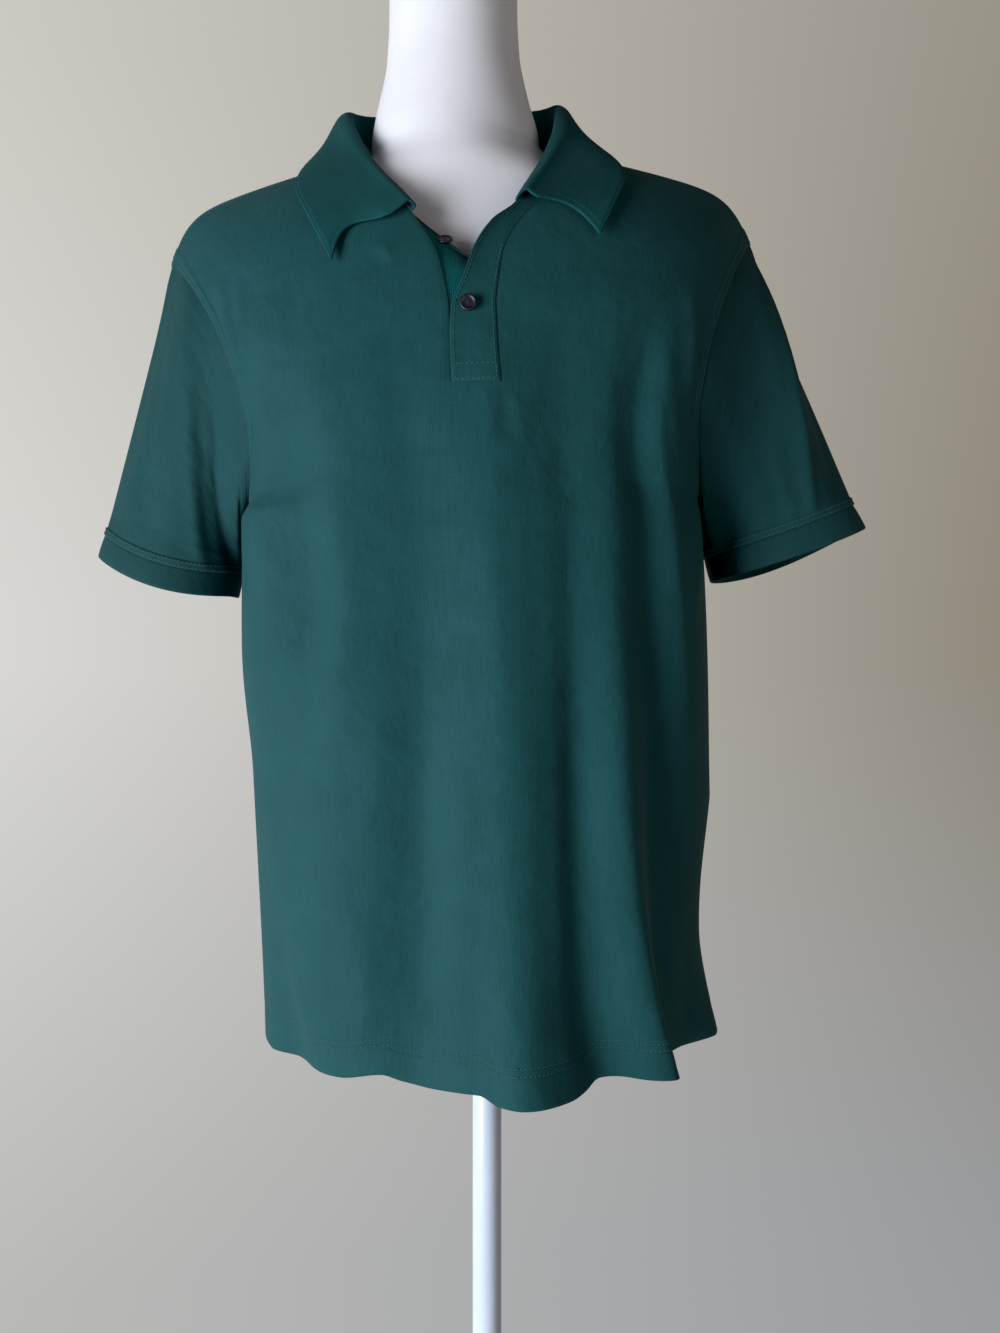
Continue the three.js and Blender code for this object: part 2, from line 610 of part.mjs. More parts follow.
// The armhole's edge at a turn from the underarm over the front, and the way the sleeve leaves it.
function armhole({ side, lean }, turn) {
  const share = turn / (2 * Math.PI);
  const v = mix(V_UNDERARM, V_BACK_UNDERARM, share);
  const edge = panelEdge(side, v, 1);
  const inside = panelEdge(side, v, 0.96);
  const bottom = Math.exp(-((Math.min(share, 1 - share) / 0.07) ** 2));
  const onward = edge.clone().sub(inside).normalize();
  const leave = onward.lerp(vec(side * 0.7, 0, 0.7), bottom).normalize();
  const fall = vec(side * Math.sin(lean * DEG), -0.12 * Math.sin(turn), -Math.cos(lean * DEG));
  const start = edge.clone().addScaledVector(leave, SEAM_GAP * 2).add(vec(side * SEAM_GAP * Math.abs(Math.sin(turn)), 0, 0));
  return { edge: start, leave, fall: fall.normalize() };
}

function sleevePoint(name, turn, s) {
  const sleeve = SLEEVES[name];
  const { edge, leave, fall } = armhole(sleeve, turn);
  const end = leaned(ring(sleeve, turn, 0));
  const before = leaned(ring(sleeve, turn, -1));
  const axis = end.clone().sub(before);
  const chord = edge.distanceTo(end);
  const start = leave.clone().lerp(fall, sleeve.turnDown).normalize().multiplyScalar(chord * sleeve.bulge);
  const finish = axis.multiplyScalar(chord * 0.9);
  const [s2, s3] = [s * s, s * s * s];
  const point = edge
    .multiplyScalar(2 * s3 - 3 * s2 + 1)
    .addScaledVector(start, s3 - 2 * s2 + s)
    .addScaledVector(end, 3 * s2 - 2 * s3)
    .addScaledVector(finish, s3 - s2);
  const degrees = turn / DEG;
  const radial = end.clone().sub(leaned(vec(sleeve.side * sleeve.cx, sleeve.cy, sleeve.cz))).normalize();
  let lift = 0;
  for (const crease of SLEEVE_FOLDS[name]) {
    lift += crease.h * bump(degrees - mix(crease.at, crease.end, s), crease.w);
  }
  return point.addScaledVector(radial, lift * Math.sin(Math.PI * Math.min(1, s * 1.15)) ** 0.8);
}

function around(side, count, point) {
  const turns = steps(0, 2 * Math.PI, count).slice(0, -1);
  const row = turns.map(point);
  return side > 0 ? row.reverse() : row;
}

function sleeveWall(name) {
  const { side } = SLEEVES[name];
  const rows = [0, 0.02, 0.1, 0.2, 0.32, 0.45, 0.58, 0.7, 0.82, 0.92, 1];
  const sheet = new Sheet();
  sheet.grid(rows.map((s) => around(side, 30, (turn) => sleevePoint(name, turn, s))), true);
  return wall(sheet, JERSEY);
}

function cuffWall(name) {
  const sleeve = SLEEVES[name];
  const rows = steps(0, 1, 3);
  const sheet = new Sheet();
  sheet.grid(
    rows.map((s) =>
      around(sleeve.side, 30, (turn) =>
        leaned(ring(sleeve, turn, SEAM_GAP + s * CUFF_BAND, 1 + sleeve.flare * s)),
      ),
    ),
    true,
  );
  return wall(sheet, BAND);
}

// One section of the collar: from the neckline up the stand, over the roll and down the fall to the free edge.
function collarSection(u) {
  const side = Math.sign(u) || 1;
  const place = Math.abs(u);
  const v = mix(V_NAPE, V_NECK_CORNER, place);
  const seam = panelEdge(side, v, 0);
  const along = panelEdge(side, v - 6, 0).sub(seam);
  const rise = along.cross(outward(side, v, 0.02)).normalize();
  if (rise.z < 0) rise.negate();
  const roll = between(ROLL, "u", place);
  const edge = between(EDGE, "u", place);
  const end = side < 0 ? COLLAR_END.right : COLLAR_END.left;
  const late = place ** 8;
  const top = leaned(vec(side * (roll.x - end.inner * late), roll.y, roll.z - end.lower * late));
  const low = edge.v - end.drop * place ** 6;
  const share = edge.f + end.out * place ** 6;
  const tip = torso(side, low, share).addScaledVector(outward(side, low, share), BAND + edge.off);
  const away = tip.clone().sub(seam);
  away.z = 0;
  away.normalize();
  const foot = seam.clone().addScaledVector(rise, SEAM_GAP * 2.6).add(vec(0, 0, SEAM_GAP));
  const stand = foot.clone().lerp(top, 0.5).addScaledVector(away, -1.5);
  const full = 3.2 + 5.5 * bump(place - 0.56, 0.2);
  const crown = top.clone().addScaledVector(away, full).add(vec(0, 0, 1.6));
  const shoulder = top.clone().addScaledVector(away, full * 1.9).add(vec(0, 0, -0.35 * full));
  const middle = shoulder.clone().lerp(tip, 0.5).addScaledVector(away, 1);
  const curve = new THREE.CatmullRomCurve3([foot, stand, top, crown, shoulder, middle, tip], false, "centripetal");
  return [0, 0.1, 0.22, 0.34, 0.4, 0.44, 0.48, 0.58, 0.7, 0.84, 1].map((t) => curve.getPointAt(t));
}

// The way the torso's outer face looks at a place.
function outward(side, v, f) {
  const along = torso(side, v + 2, f).sub(torso(side, v - 2, f));
  const across = torso(side, v, f + 0.02).sub(torso(side, v, f));
  return across.cross(along).multiplyScalar(side).normalize();
}

function collarWall() {
  const sheet = new Sheet();
  sheet.grid(steps(-1, 1, 32).map((u) => collarSection(u)));
  return wall(sheet, BAND);
}

// A placket band lies over the slit, at its own distance from the front's face.
function bandWall(table, rows) {
  const front = STATIONS.filter((row) => row.v <= V_NECK_CORNER + 40);
  const sheet = new Sheet();
  const [low, high] = [table[0].z, table[table.length - 1].z];
  sheet.grid(
    steps(low, high, rows).map((z) => {
      const edges = between(table, "z", z);
      return steps(0, 1, 4).map((t) => {
        const x = mix(edges.left, edges.right, t);
        const off = mix(edges.leftOff, edges.rightOff, t);
        return bandPoint(front, x, z, off);
      });
    }),
  );
  return wall(sheet, PLACKET);
}

// The place in front of or behind the front's outer face at a height of the centre line and a width across.
function bandPoint(front, x, z, off) {
  const row = between(front, "zi", z);
  const full = row.arc * 90 * DEG;
  const power = 2 / row.round;
  const across = Math.max(0, Math.abs(x) - row.xi) / (row.xo - row.xi);
  const turn = Math.asin(Math.sin(full) * across ** (1 / power));
  const inward = (1 - cosine(turn) ** power) / (1 - cosine(full) ** power);
  const fall = mix(across, across ** 12, row.drop);
  return leaned(vec(x, mix(row.yi, row.yo, inward) - foldHeight(x, z) - off, mix(z, row.zo, fall)));
}

const wasm = await Module();
wasm.setup();

function solid(geometry) {
  const bare = new THREE.BufferGeometry();
  bare.setAttribute("position", geometry.getAttribute("position"));
  bare.setIndex(geometry.getIndex());
  const merged = mergeVertices(bare, 1e-4);
  return new wasm.Manifold(
    new wasm.Mesh({
      numProp: 3,
      vertProperties: new Float32Array(merged.attributes.position.array),
      triVerts: new Uint32Array(merged.index.array),
    }),
  );
}

function geometryOf(body) {
  const { vertProperties, triVerts } = body.getMesh();
  const geometry = new THREE.BufferGeometry();
  geometry.setAttribute("position", new THREE.BufferAttribute(vertProperties, 3));
  geometry.setIndex(new THREE.BufferAttribute(triVerts, 1));
  geometry.computeVertexNormals();
  return geometry;
}

// A round button with a raised rim and four holes.
function button(place) {
  const half = BUTTON_T / 2;
  const profile = [
    [0, -half],
    [BUTTON_R * 0.7, -half],
    [BUTTON_R, -half * 0.2],
    [BUTTON_R, half * 0.5],
    [BUTTON_R * 0.9, half],
    [BUTTON_R * 0.72, half * 0.9],
    [BUTTON_R * 0.6, half * 0.4],
    [0, half * 0.4],
  ].map(([r, y]) => new THREE.Vector2(r, y));
  let body = solid(new THREE.LatheGeometry(profile, 20));
  for (const turn of [45, 135, 225, 315]) {
    const hole = new THREE.CylinderGeometry(0.7, 0.7, BUTTON_T * 2, 6);
    hole.translate(1.6 * Math.cos(turn * DEG), 0, 1.6 * Math.sin(turn * DEG));
    body = body.subtract(solid(hole));
  }
  const front = STATIONS.filter((row) => row.v <= V_NECK_CORNER + 40);
  const at = bandPoint(front, place.x, place.z, place.off);
  return geometryOf(body)
    .rotateX((180 - place.lean) * DEG)
    .rotateZ(place.turn * DEG)
    .translate(at.x, at.y, at.z);
}

// A solid through level rings, closed flat below and above.
function loft(rows) {
  const width = rows[0].length;
  const middle = (row) => row.reduce((sum, p) => sum.add(p), vec(0, 0, 0)).divideScalar(width);
  const points = [...rows.flat(), middle(rows[0]), middle(rows[rows.length - 1])];
  const index = [];
  for (let c = 0; c < width; c++) {
    const next = (c + 1) % width;
    for (let r = 0; r + 1 < rows.length; r++) {
      const [a, b, d, e] = [r * width + c, r * width + next, (r + 1) * width + next, (r + 1) * width + c];
      index.push(a, b, d, a, d, e);
    }
    const last = (rows.length - 1) * width;
    index.push(points.length - 2, next, c, points.length - 1, last + c, last + next);
  }
  const geometry = new THREE.BufferGeometry();
  const position = points.flatMap((p) => [p.x, p.y, p.z]);
  geometry.setAttribute("position", new THREE.Float32BufferAttribute(position, 3));
  geometry.setIndex(index);
  geometry.computeVertexNormals();
  return geometry;
}

function formSolid() {
  const count = 36;
  const turns = steps(0, 2 * Math.PI, count).slice(0, -1);
  const rows = FORM.map((row) =>
    turns.map((turn) => {
      const power = 2 / row.round;
      const [c, s] = [Math.cos(turn), Math.sin(turn)];
      const x = Math.sign(c) * Math.abs(c) ** power * row.half;
      const depth = s > 0 ? row.back : row.front;
      const y = Math.sign(s) * Math.abs(s) ** power * depth * (1 - row.pinch * c * c);
      return leaned(vec(x, y, row.z));
    }),
  );
  return loft(rows);
}

function pole() {
  const [low, high] = [BASE_T + 0.3, FORM[0].z - 0.3];
  const geometry = new THREE.CylinderGeometry(POLE_R, POLE_R, high - low, 24);
  return geometry.rotateX(90 * DEG).translate(0, 0, (low + high) / 2);
}

function basePlate() {
  const edge = 2;
  const profile = [
    [0, 0],
    [BASE_R - edge / 2, 0],
    [BASE_R, edge / 2],
    [BASE_R, BASE_T - edge],
    [BASE_R - edge, BASE_T],
    [0, BASE_T],
  ].map(([r, z]) => new THREE.Vector2(r, z));
  return new THREE.LatheGeometry(profile, 48).rotateX(90 * DEG);
}

const jersey = () => new THREE.MeshStandardMaterial({ color: 0x2f5a61, roughness: 0.85, metalness: 0 });
const knit = () => new THREE.MeshStandardMaterial({ color: 0x24484e, roughness: 0.92, metalness: 0 });
const darkPlastic = () => new THREE.MeshStandardMaterial({ color: 0x22252f, roughness: 0.4, metalness: 0 });
const white = () => new THREE.MeshStandardMaterial({ color: 0xd9d9de, roughness: 0.55, metalness: 0 });
const paint = () => new THREE.MeshStandardMaterial({ color: 0xe2e6ea, roughness: 0.35, metalness: 0.1 });

const group = new THREE.Group();
function add(name, geometry, material) {
  const mesh = new THREE.Mesh(geometry, material);
  mesh.name = name;
  group.add(mesh);
}

add("front_panel", frontPanel(), jersey());
add("back_panel", backPanel(), jersey());
add("sleeve_right", sleeveWall("right"), jersey());
add("sleeve_left", sleeveWall("left"), jersey());
add("cuff_right", cuffWall("right"), knit());
add("cuff_left", cuffWall("left"), knit());
add("collar", collarWall(), knit());
add("placket_upper", bandWall(UPPER_BAND, 10), jersey());
add("placket_lower", bandWall(LOWER_BAND, 9), jersey());
add("button_fastened", button({ x: -2, z: 1243, off: 4.7, lean: 0, turn: 0 }), darkPlastic());
add("button_open", button({ x: -15, z: 1296, off: -7.4, lean: 45, turn: 0 }), darkPlastic());
add("dress_form", formSolid(), white());
add("pole", pole(), paint());
add("base", basePlate(), paint());

export default group;
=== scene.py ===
"""A knitted polo shirt on an armless dress form, with a pole and a round base.

Shapes are worked out in millimetres in the part's own frame and stored in metres. The front faces -Y, +X is
the wearer's left and the floor is at Z 0. Each piece of cloth is a thin shell on the same curves as its solid.
"""

import math

import bpy
import mathutils
import numpy as np
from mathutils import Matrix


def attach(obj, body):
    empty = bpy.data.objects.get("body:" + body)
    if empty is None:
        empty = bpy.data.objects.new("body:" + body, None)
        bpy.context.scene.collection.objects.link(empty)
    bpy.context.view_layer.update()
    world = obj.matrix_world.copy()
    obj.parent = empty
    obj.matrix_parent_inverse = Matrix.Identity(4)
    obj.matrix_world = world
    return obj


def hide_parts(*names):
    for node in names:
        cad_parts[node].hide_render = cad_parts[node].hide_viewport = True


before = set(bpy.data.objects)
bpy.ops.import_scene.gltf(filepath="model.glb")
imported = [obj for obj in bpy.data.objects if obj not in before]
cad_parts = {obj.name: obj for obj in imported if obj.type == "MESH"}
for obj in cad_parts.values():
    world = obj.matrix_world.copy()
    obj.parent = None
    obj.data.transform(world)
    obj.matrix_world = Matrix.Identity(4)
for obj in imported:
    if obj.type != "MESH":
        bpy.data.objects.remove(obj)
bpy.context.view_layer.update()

MM = 0.001
JERSEY = 1.3
RIB = 1.9
SEAM = 0.3
HEM_Z = 716
QUARTER_GIRTH = 270
GIRTH_HALF = 2 * QUARTER_GIRTH
CUFF_BAND = 18
CUFF_THICK = 2.2
SLEEVE_LONG = 230
ARM_STEPS = 160
HEM_REACH = 90
HEM_ROWS = (20.0, 24.5)
GROOVE_DEEP = 0.5
ALLOWANCE_HIGH = 0.9
BAND_THICK = 1.4
BAND_BEND = 0.6
POLE_R = 11.5
BASE_R = 170
BASE_T = 6
BUTTON_R = 5.7

LEAN = {"shift": -27, "from": 716, "over": 724, "power": 1.5, "turn": 0.06, "tilt": 0.035}

# Stations of one half of the torso, from the front hem over the shoulder to the back hem.
STATION_COLUMNS = ("v", "xi", "yi", "zi", "xo", "yo", "zo", "round", "arc", "drop", "ease", "box")
STATIONS = (
    (0, 15, -126, 716, 175, 0, 716, 2.2, 1, 0, 1, 0),
    (100, 15, -128, 816, 176, 0, 816, 2.2, 1, 0, 1, 0),
    (200, 15, -131, 916, 177, 0, 916, 2.2, 1, 0, 1, 0),
    (300, 15, -134, 1016, 178, 0, 1016, 2.25, 1, 0, 1, 1.2),
    (396, 15, -136, 1112, 176, 0, 1112, 2.3, 1, 0, 1, 1.35),
    (430, 15, -136, 1148, 168, -48, 1132, 2.3, 0.88, 0, 1, 1.1),
    (470, 15, -135, 1192, 163, -76, 1170, 2.3, 0.78, 0, 1, 0.7),
    (515, 15, -130, 1235, 169, -81, 1210, 2.25, 0.74, 0, 1, 0.2),
    (560, 20, -121, 1278, 184, -70, 1254, 2.2, 0.72, 0.1, 1, 0),
    (600, 38, -107, 1318, 200, -52, 1285, 2.1, 0.7, 0.2, 1, 0),
    (640, 56, -84, 1352, 213, -34, 1306, 2, 0.66, 0.3, 1, 0),
    (675, 70, -56, 1378, 222, -18, 1319, 2, 0.62, 0.4, 1, 0),
    (705, 78, -28, 1394, 229, -6, 1327, 2, 0.6, 0.48, 1, 0),
    (730, 81, 0, 1402, 232, 10, 1329, 2, 0.6, 0.5, 1, 0),
    (760, 76, 30, 1408, 231, 26, 1322, 2, 0.6, 0.42, 1, 0),
    (800, 48, 54, 1414, 225, 46, 1300, 2, 0.62, 0.35, 1.4, 0),
    (840, 0, 66, 1417, 212, 62, 1268, 2, 0.66, 0.28, 2, 0),
    (885, 0, 90, 1372, 200, 72, 1232, 2.1, 0.7, 0.15, 2, 0),
    (930, 0, 107, 1326, 190, 74, 1195, 2.2, 0.74, 0.05, 2, 0),
    (985, 0, 117, 1268, 184, 66, 1162, 2.2, 0.8, 0, 2, 0),
    (1035, 0, 120, 1190, 180, 42, 1130, 2.2, 0.88, 0, 2, 0),
    (1090, 0, 120, 1112, 176, 0, 1112, 2.2, 1, 0, 2, 0),
    (1186, 0, 118, 1016, 178, 0, 1016, 2.2, 1, 0, 2, 0),
    (1286, 0, 117, 916, 177, 0, 916, 2.2, 1, 0, 2, 0),
    (1386, 0, 119, 816, 176, 0, 816, 2.2, 1, 0, 2, 0),
    (1486, 0, 122, 716, 175, 0, 716, 2.2, 1, 0, 2, 0),
)
V_UNDERARM = 396
V_PLACKET = 470
V_NECK_CORNER = 600
V_RIDGE = 730
V_NAPE = 840
V_BACK_UNDERARM = 1090
V_BACK_HEM = 1486
V_SEAM = {-1: 690, 1: 712}

# Folds: height z, place along the girth g, how far the cloth stands out h and half width w.
FOLD_COLUMNS = ("z", "g", "h", "w")
FOLDS = (
    ((1080, -262, 0, 60), (960, -262, 4, 50), (716, -262, 0, 40)),
    ((900, 262, 0, 40), (800, 262, -14, 36), (716, 262, 6, 30)),
    ((1000, 350, 0, 30), (850, 352, 9, 30), (716, 350, 17, 26)),
    ((1060, 412, 0, 30), (880, 410, -9, 30), (716, 404, -16, 28)),
    ((1120, 478, 0, 34), (900, 476, 9, 34), (716, 468, 20, 30)),
    ((1090, -520, 0, 40), (900, -524, -8, 36), (716, -532, -15, 32)),
    ((1120, -450, 0, 36), (900, -452, 10, 36), (716, -458, 19, 32)),
    ((1010, -382, 0, 30), (860, -382, -7, 30), (716, -380, -13, 28)),
    ((950, -318, 0, 30), (716, -314, 9, 28)),
)

# The front's ridges and valleys, from the wearer's right to the left, each as a line down the cloth: height z,
# place along the girth g and how far the cloth stands out h.
LINE_COLUMNS = ("z", "g", "h")
LINES = {
    "side_right": ((1250, -240, 0), (716, -240, 0)),
    "side_corner": ((1230, -200, 0), (1110, -195, -4), (1045, -195, -5), (978, -200, -2), (911, -205, 0),
                    (716, -205, 0)),
    "hollow_by_side": ((1230, -150, 0), (1180, -142, -4), (1110, -134, -12), (1045, -130, -17),
                       (978, -142, -12), (911, -166, -2), (843, -180, 2), (716, -170, -10)),
    "first_ridge": ((1250, -100, 0), (1180, -96, 0), (1110, -92, -3), (1045, -90, -6), (978, -104, -4),
                    (911, -124, 3), (843, -134, 6), (776, -140, 7), (716, -118, 1)),
    "first_slope": ((1250, -70, 0), (1180, -66, -1), (1110, -64, -5), (1045, -66, -8), (978, -74, -6),
                    (911, -80, -3), (843, -84, -2), (776, -88, 0), (716, -92, 0)),
    "first_valley": ((1250, -42, 0), (1180, -42, -3), (1110, -38, -7), (1045, -36, -10), (978, -38, -12),
                     (911, -42, -13), (843, -44, -12), (776, -47, -9), (716, -54, -5)),
    "middle_rise": ((1250, -20, 0), (1110, -10, -1), (1045, -10, -2), (978, -11, -2), (911, -13, -1),
                    (843, -15, -1), (776, -16, 0), (716, -14, 6)),
    "middle_ridge": ((1250, 10, 0), (1110, 8, 1), (1045, 7, 2), (978, 10, 3), (911, 12, 4), (843, 12, 5),
                     (776, 14, 9), (716, 17, 18)),
    "middle_slope": ((1250, 30, 0), (1180, 28, -4), (1110, 34, -4), (1045, 36, -4), (911, 38, -4),
                     (843, 38, -3), (776, 38, -1), (716, 44, 6)),
    "second_valley": ((1250, 60, 0), (1180, 58, -9), (1110, 58, -9), (1045, 56, -9), (978, 57, -11),
                      (911, 58, -13), (843, 60, -14), (776, 64, -15), (716, 72, -11)),
    "second_ridge": ((1250, 90, 0), (1180, 90, -8), (1110, 88, -6), (1045, 86, -5), (978, 90, -3),
                     (911, 92, -1), (843, 98, 0), (776, 110, 4), (716, 128, 10)),
    "third_valley": ((1250, 124, 0), (1180, 122, -11), (1110, 126, -13), (1045, 130, -15), (978, 133, -17),
                     (911, 136, -18), (843, 138, -19), (776, 142, -20), (716, 148, -22)),
    "third_ridge": ((1250, 150, 0), (1180, 148, -3), (1110, 152, -2), (1045, 162, -3), (978, 174, -5),
                    (911, 182, -10), (843, 185, -14), (776, 190, -16), (716, 190, -20)),
    "side_left": ((1250, 240, 0), (911, 240, 0), (716, 240, 0)),
}

# Smaller creases on the front and back: girth and height of both ends, lift and half width.
CREASES = (
    (-170, 1292, -196, 1186, 2.4, 8),
    (-150, 1284, -180, 1220, 1.6, 7),
    (-160, 1286, -188, 1200, -1.2, 6),
    (-120, 1262, -168, 1210, 1.2, 12),
    (-53, 1292, -42, 1280, 1.6, 4),
    (-19, 1188, -21, 1158, -1.3, 3.5),
    (-25, 1186, -30, 1150, 0.8, 5),
    (17, 1186, 19, 1150, -1.4, 3.5),
    (23, 1184, 29, 1142, 0.9, 5),
    (150, 1270, 186, 1190, 2.0, 9),
    (128, 1240, 172, 1150, 1.4, 12),
    (-215, 1120, -160, 1060, 1.6, 14),
    (-232, 1090, -180, 1010, -1.4, 14),
    (215, 1110, 176, 1030, 1.8, 12),
    (-100, 860, -84, 735, 1.2, 12),
    (-128, 900, -150, 740, -1.5, 13),
    (-30, 1010, -22, 820, 1.0, 14),
    (60, 900, 66, 740, 1.2, 9),
    (-330, 1200, -300, 1080, 2.0, 16),
    (-352, 1230, -330, 1120, -1.6, 14),
    (335, 1210, 300, 1080, 2.2, 16),
    (362, 1240, 340, 1110, -1.8, 14),
    (-440, 1260, -400, 1130, 1.4, 20),
    (430, 1270, 410, 1120, 1.6, 20),
    (500, 1060, 505, 900, -1.6, 18),
    (-492, 1000, -488, 860, 1.4, 16),
    (-300, 900, -296, 740, -1.8, 14),
    (305, 930, 312, 750, -2.0, 14),
)

CUFF_RIDGE = {"wide": 6.4, "high": 1.1}
SLEEVES = {
    "right": {
        "side": -1, "cx": 240, "cy": 2, "cz": 1092, "half": 56, "deep": 46, "up": 18,
        "out": 16, "front": 12, "back": 2, "flare": 0.02, "lean": 13, "turnDown": 0.6, "bulge": 0.6,
    },
    "left": {
        "side": 1, "cx": 244, "cy": 2, "cz": 1104, "half": 62, "deep": 41, "up": 18,
        "out": 21, "front": 2, "back": 8, "flare": 0.04, "lean": 19, "turnDown": 0.93, "bulge": 0.45,
    },
}
# Creases down a sleeve: angle from the underarm through the front at both ends, height, half width in degrees.
SLEEVE_FOLDS = {
    "right": ((108, 92, 7, 22), (62, 52, -7, 22), (262, 268, 5, 26)),
    "left": ((130, 118, 7, 24), (84, 74, -4, 24), (262, 268, 5, 26)),
}
# Finer ones: the same, and the share of the sleeve's length where each starts and ends.
SLEEVE_CREASES = {
    "right": (
        (158, 150, -2.2, 16, 0.1, 1.0),
        (112, 56, 2.6, 8, 0.0, 1.0),
        (84, 20, -3.4, 10, 0.04, 1.0),
        (60, 4, 2.0, 8, 0.1, 1.0),
        (42, 2, -2.0, 7, 0.3, 1.0),
        (128, 112, -1.4, 9, 0.1, 0.9),
        (215, 228, 1.8, 8, 0.05, 1.0),
        (300, 312, -2.0, 10, 0.1, 1.0),
    ),
    "left": (
        (150, 104, 3.0, 6, 0.02, 1.0),
        (172, 140, -4.0, 15, 0.05, 1.0),
        (120, 84, -1.2, 12, 0.1, 1.0),
        (58, 46, -3.2, 13, 0.15, 1.0),
        (30, 24, 2.4, 9, 0.3, 1.0),
        (96, 92, 1.0, 6, 0.6, 1.0),
        (215, 226, 1.8, 8, 0.05, 1.0),
        (300, 310, -2.0, 10, 0.1, 1.0),
    ),
}

ROLL_COLUMNS = ("u", "x", "y", "z")
ROLL = (
    (0, 0, 71, 1470),
    (0.25, 52, 60, 1470),
    (0.42, 80, 34, 1461),
    (0.55, 84, 2, 1445),
    (0.68, 79, -32, 1414),
    (0.82, 64, -68, 1372),
    (1, 40, -111, 1325),
)
EDGE_COLUMNS = ("u", "v", "f", "off")
EDGE = (
    (0, 856, 0, 5),
    (0.25, 830, 0.165, 5),
    (0.42, 793, 0.17, 2.5),
    (0.55, 741, 0.165, 1.5),
    (0.68, 699, 0.225, 1.5),
    (0.82, 645, 0.315, 1.5),
    (1, 585, 0.285, 3),
)
WELT = {"wide": 2.4, "high": 0.45}
COLLAR_HALF = 232
COLLAR_DEEP = 105
POINT_DROP = {-1: 14, 1: 2}
POINT_OUT = {-1: 0.03, 1: 0.0}
CORNER_IN = {-1: 4, 1: 0}
CORNER_DROP = {-1: 5, 1: 0}
END_INSET = {-1: (0.034, 0.72), 1: (0.025, 0.6)}
FREE_SHARE = 0.3

# The two bands of the placket: height, sides, how far each side stands out from the front, and how much higher
# the left side of a row is than its right.
BAND_COLUMNS = ("z", "left", "right", "leftOff", "rightOff", "slant")
UPPER_BAND = (
    (1190, -15, 17, 1.3, 0.9, 0),
    (1216, -15, 16, 1.6, 0.8, 0),
    (1242, -13, 16, 2.4, 0.8, 0),
    (1262, -4, 19, 4, 0.7, 0),
    (1284, 5, 24, 6, 0.5, 0),
    (1303, 18, 34, 7, 0.4, 0),
    (1316, 33, 44, 4.5, 0.4, 0),
    (1327, 41, 54, 2.2, 0.3, 0),
    (1338, 48, 60, 1.2, 0.3, 0),
)
LOWER_BAND = (
    (1194, -14.6, 13, -0.4, -3, 0),
    (1222, -14.6, 13, -0.4, -3, 0),
    (1246, -15.6, 12, -0.4, -4, 2),
    (1268, -19.6, 9, -0.4, -6, 8),
    (1284, -26.5, 4, -0.4, -9, 18),
    (1297, -35, 1, -0.6, -12.5, 30),
)

# The form: pinch draws a section in between its front and its side, as a neck runs out into shoulders.
FORM_COLUMNS = ("z", "half", "front", "back", "round", "pinch")
FORM = (
    (778, 146, 88, 84, 2.2, 0),
    (784, 151, 93, 89, 2.2, 0),
    (850, 155, 98, 94, 2.2, 0),
    (940, 142, 96, 92, 2.15, 0),
    (1020, 146, 104, 94, 2.15, 0),
    (1112, 158, 119, 106, 2.2, 0),
    (1180, 160, 121, 110, 2.2, 0),
    (1240, 166, 113, 108, 2.15, 0),
    (1290, 196, 96, 98, 2, 0),
    (1330, 208, 85, 84, 1.95, 0.15),
    (1356, 204, 78, 74, 2, 0.55),
    (1374, 150, 74, 60, 2, 0.97),
    (1388, 99, 69.5, 50, 2, 0.65),
    (1402, 68, 65.5, 46, 2, 0.1),
    (1420, 66, 61.5, 48, 2, 0),
    (1445, 60, 58.5, 46, 2, 0),
    (1480, 53, 57, 39, 2, 0),
    (1520, 51, 59, 35, 2, 0),
    (1546, 51, 61, 34, 2, 0),
    (1553, 49, 59, 32, 2, 0),
    (1556, 43, 53, 26, 2, 0),
)

# Where a front hem hangs lower or higher than the level edge: place along the girth and drop.
HEM_DROP_COLUMNS = ("g", "drop")
HEM_DROP = (
    (-540, 0), (-270, 0), (-110, 0), (-75, -5), (-60, -1), (-37, 2), (-11, 2), (1, 7), (18, 8), (36, 8),
    (60, 6), (73, 0), (87, -1), (107, 1), (130, 2), (160, 0), (540, 0),
)

DEGREES = math.pi / 180


def mix(a, b, t):
    return a + (b - a) * t


def smooth(t):
    t = np.clip(t, 0, 1)
    return t * t * (3 - 2 * t)


def bump(far, wide):
    return np.exp(-((far / wide) ** 2))


def unit(vectors):
    length = np.linalg.norm(vectors, axis=-1, keepdims=True)
    return vectors / np.maximum(length, 1e-9)


def points(x, y, z):
    return np.stack(np.broadcast_arrays(x, y, z), axis=-1).astype(float)


def cosine(turn):
    return np.maximum(0, np.cos(turn))


def hermite(t, start, end, leave, arrive):
    """A cubic curve from start to end with its slopes at both."""
    t2 = t * t
    t3 = t2 * t
    between = (2 * t3 - 3 * t2 + 1) * start + (3 * t2 - 2 * t3) * end
    return between + (t3 - 2 * t2 + t) * leave + (t3 - t2) * arrive


def gentle_slopes(steep):
    """Slopes at the rows of a table from the steps between them, level where the steps change sign."""
    left = np.concatenate([steep[:1], steep])
    right = np.concatenate([steep, steep[-1:]])
    same = left * right > 0
    return np.where(same, 2 * left * right / np.where(same, left + right, 1), 0)


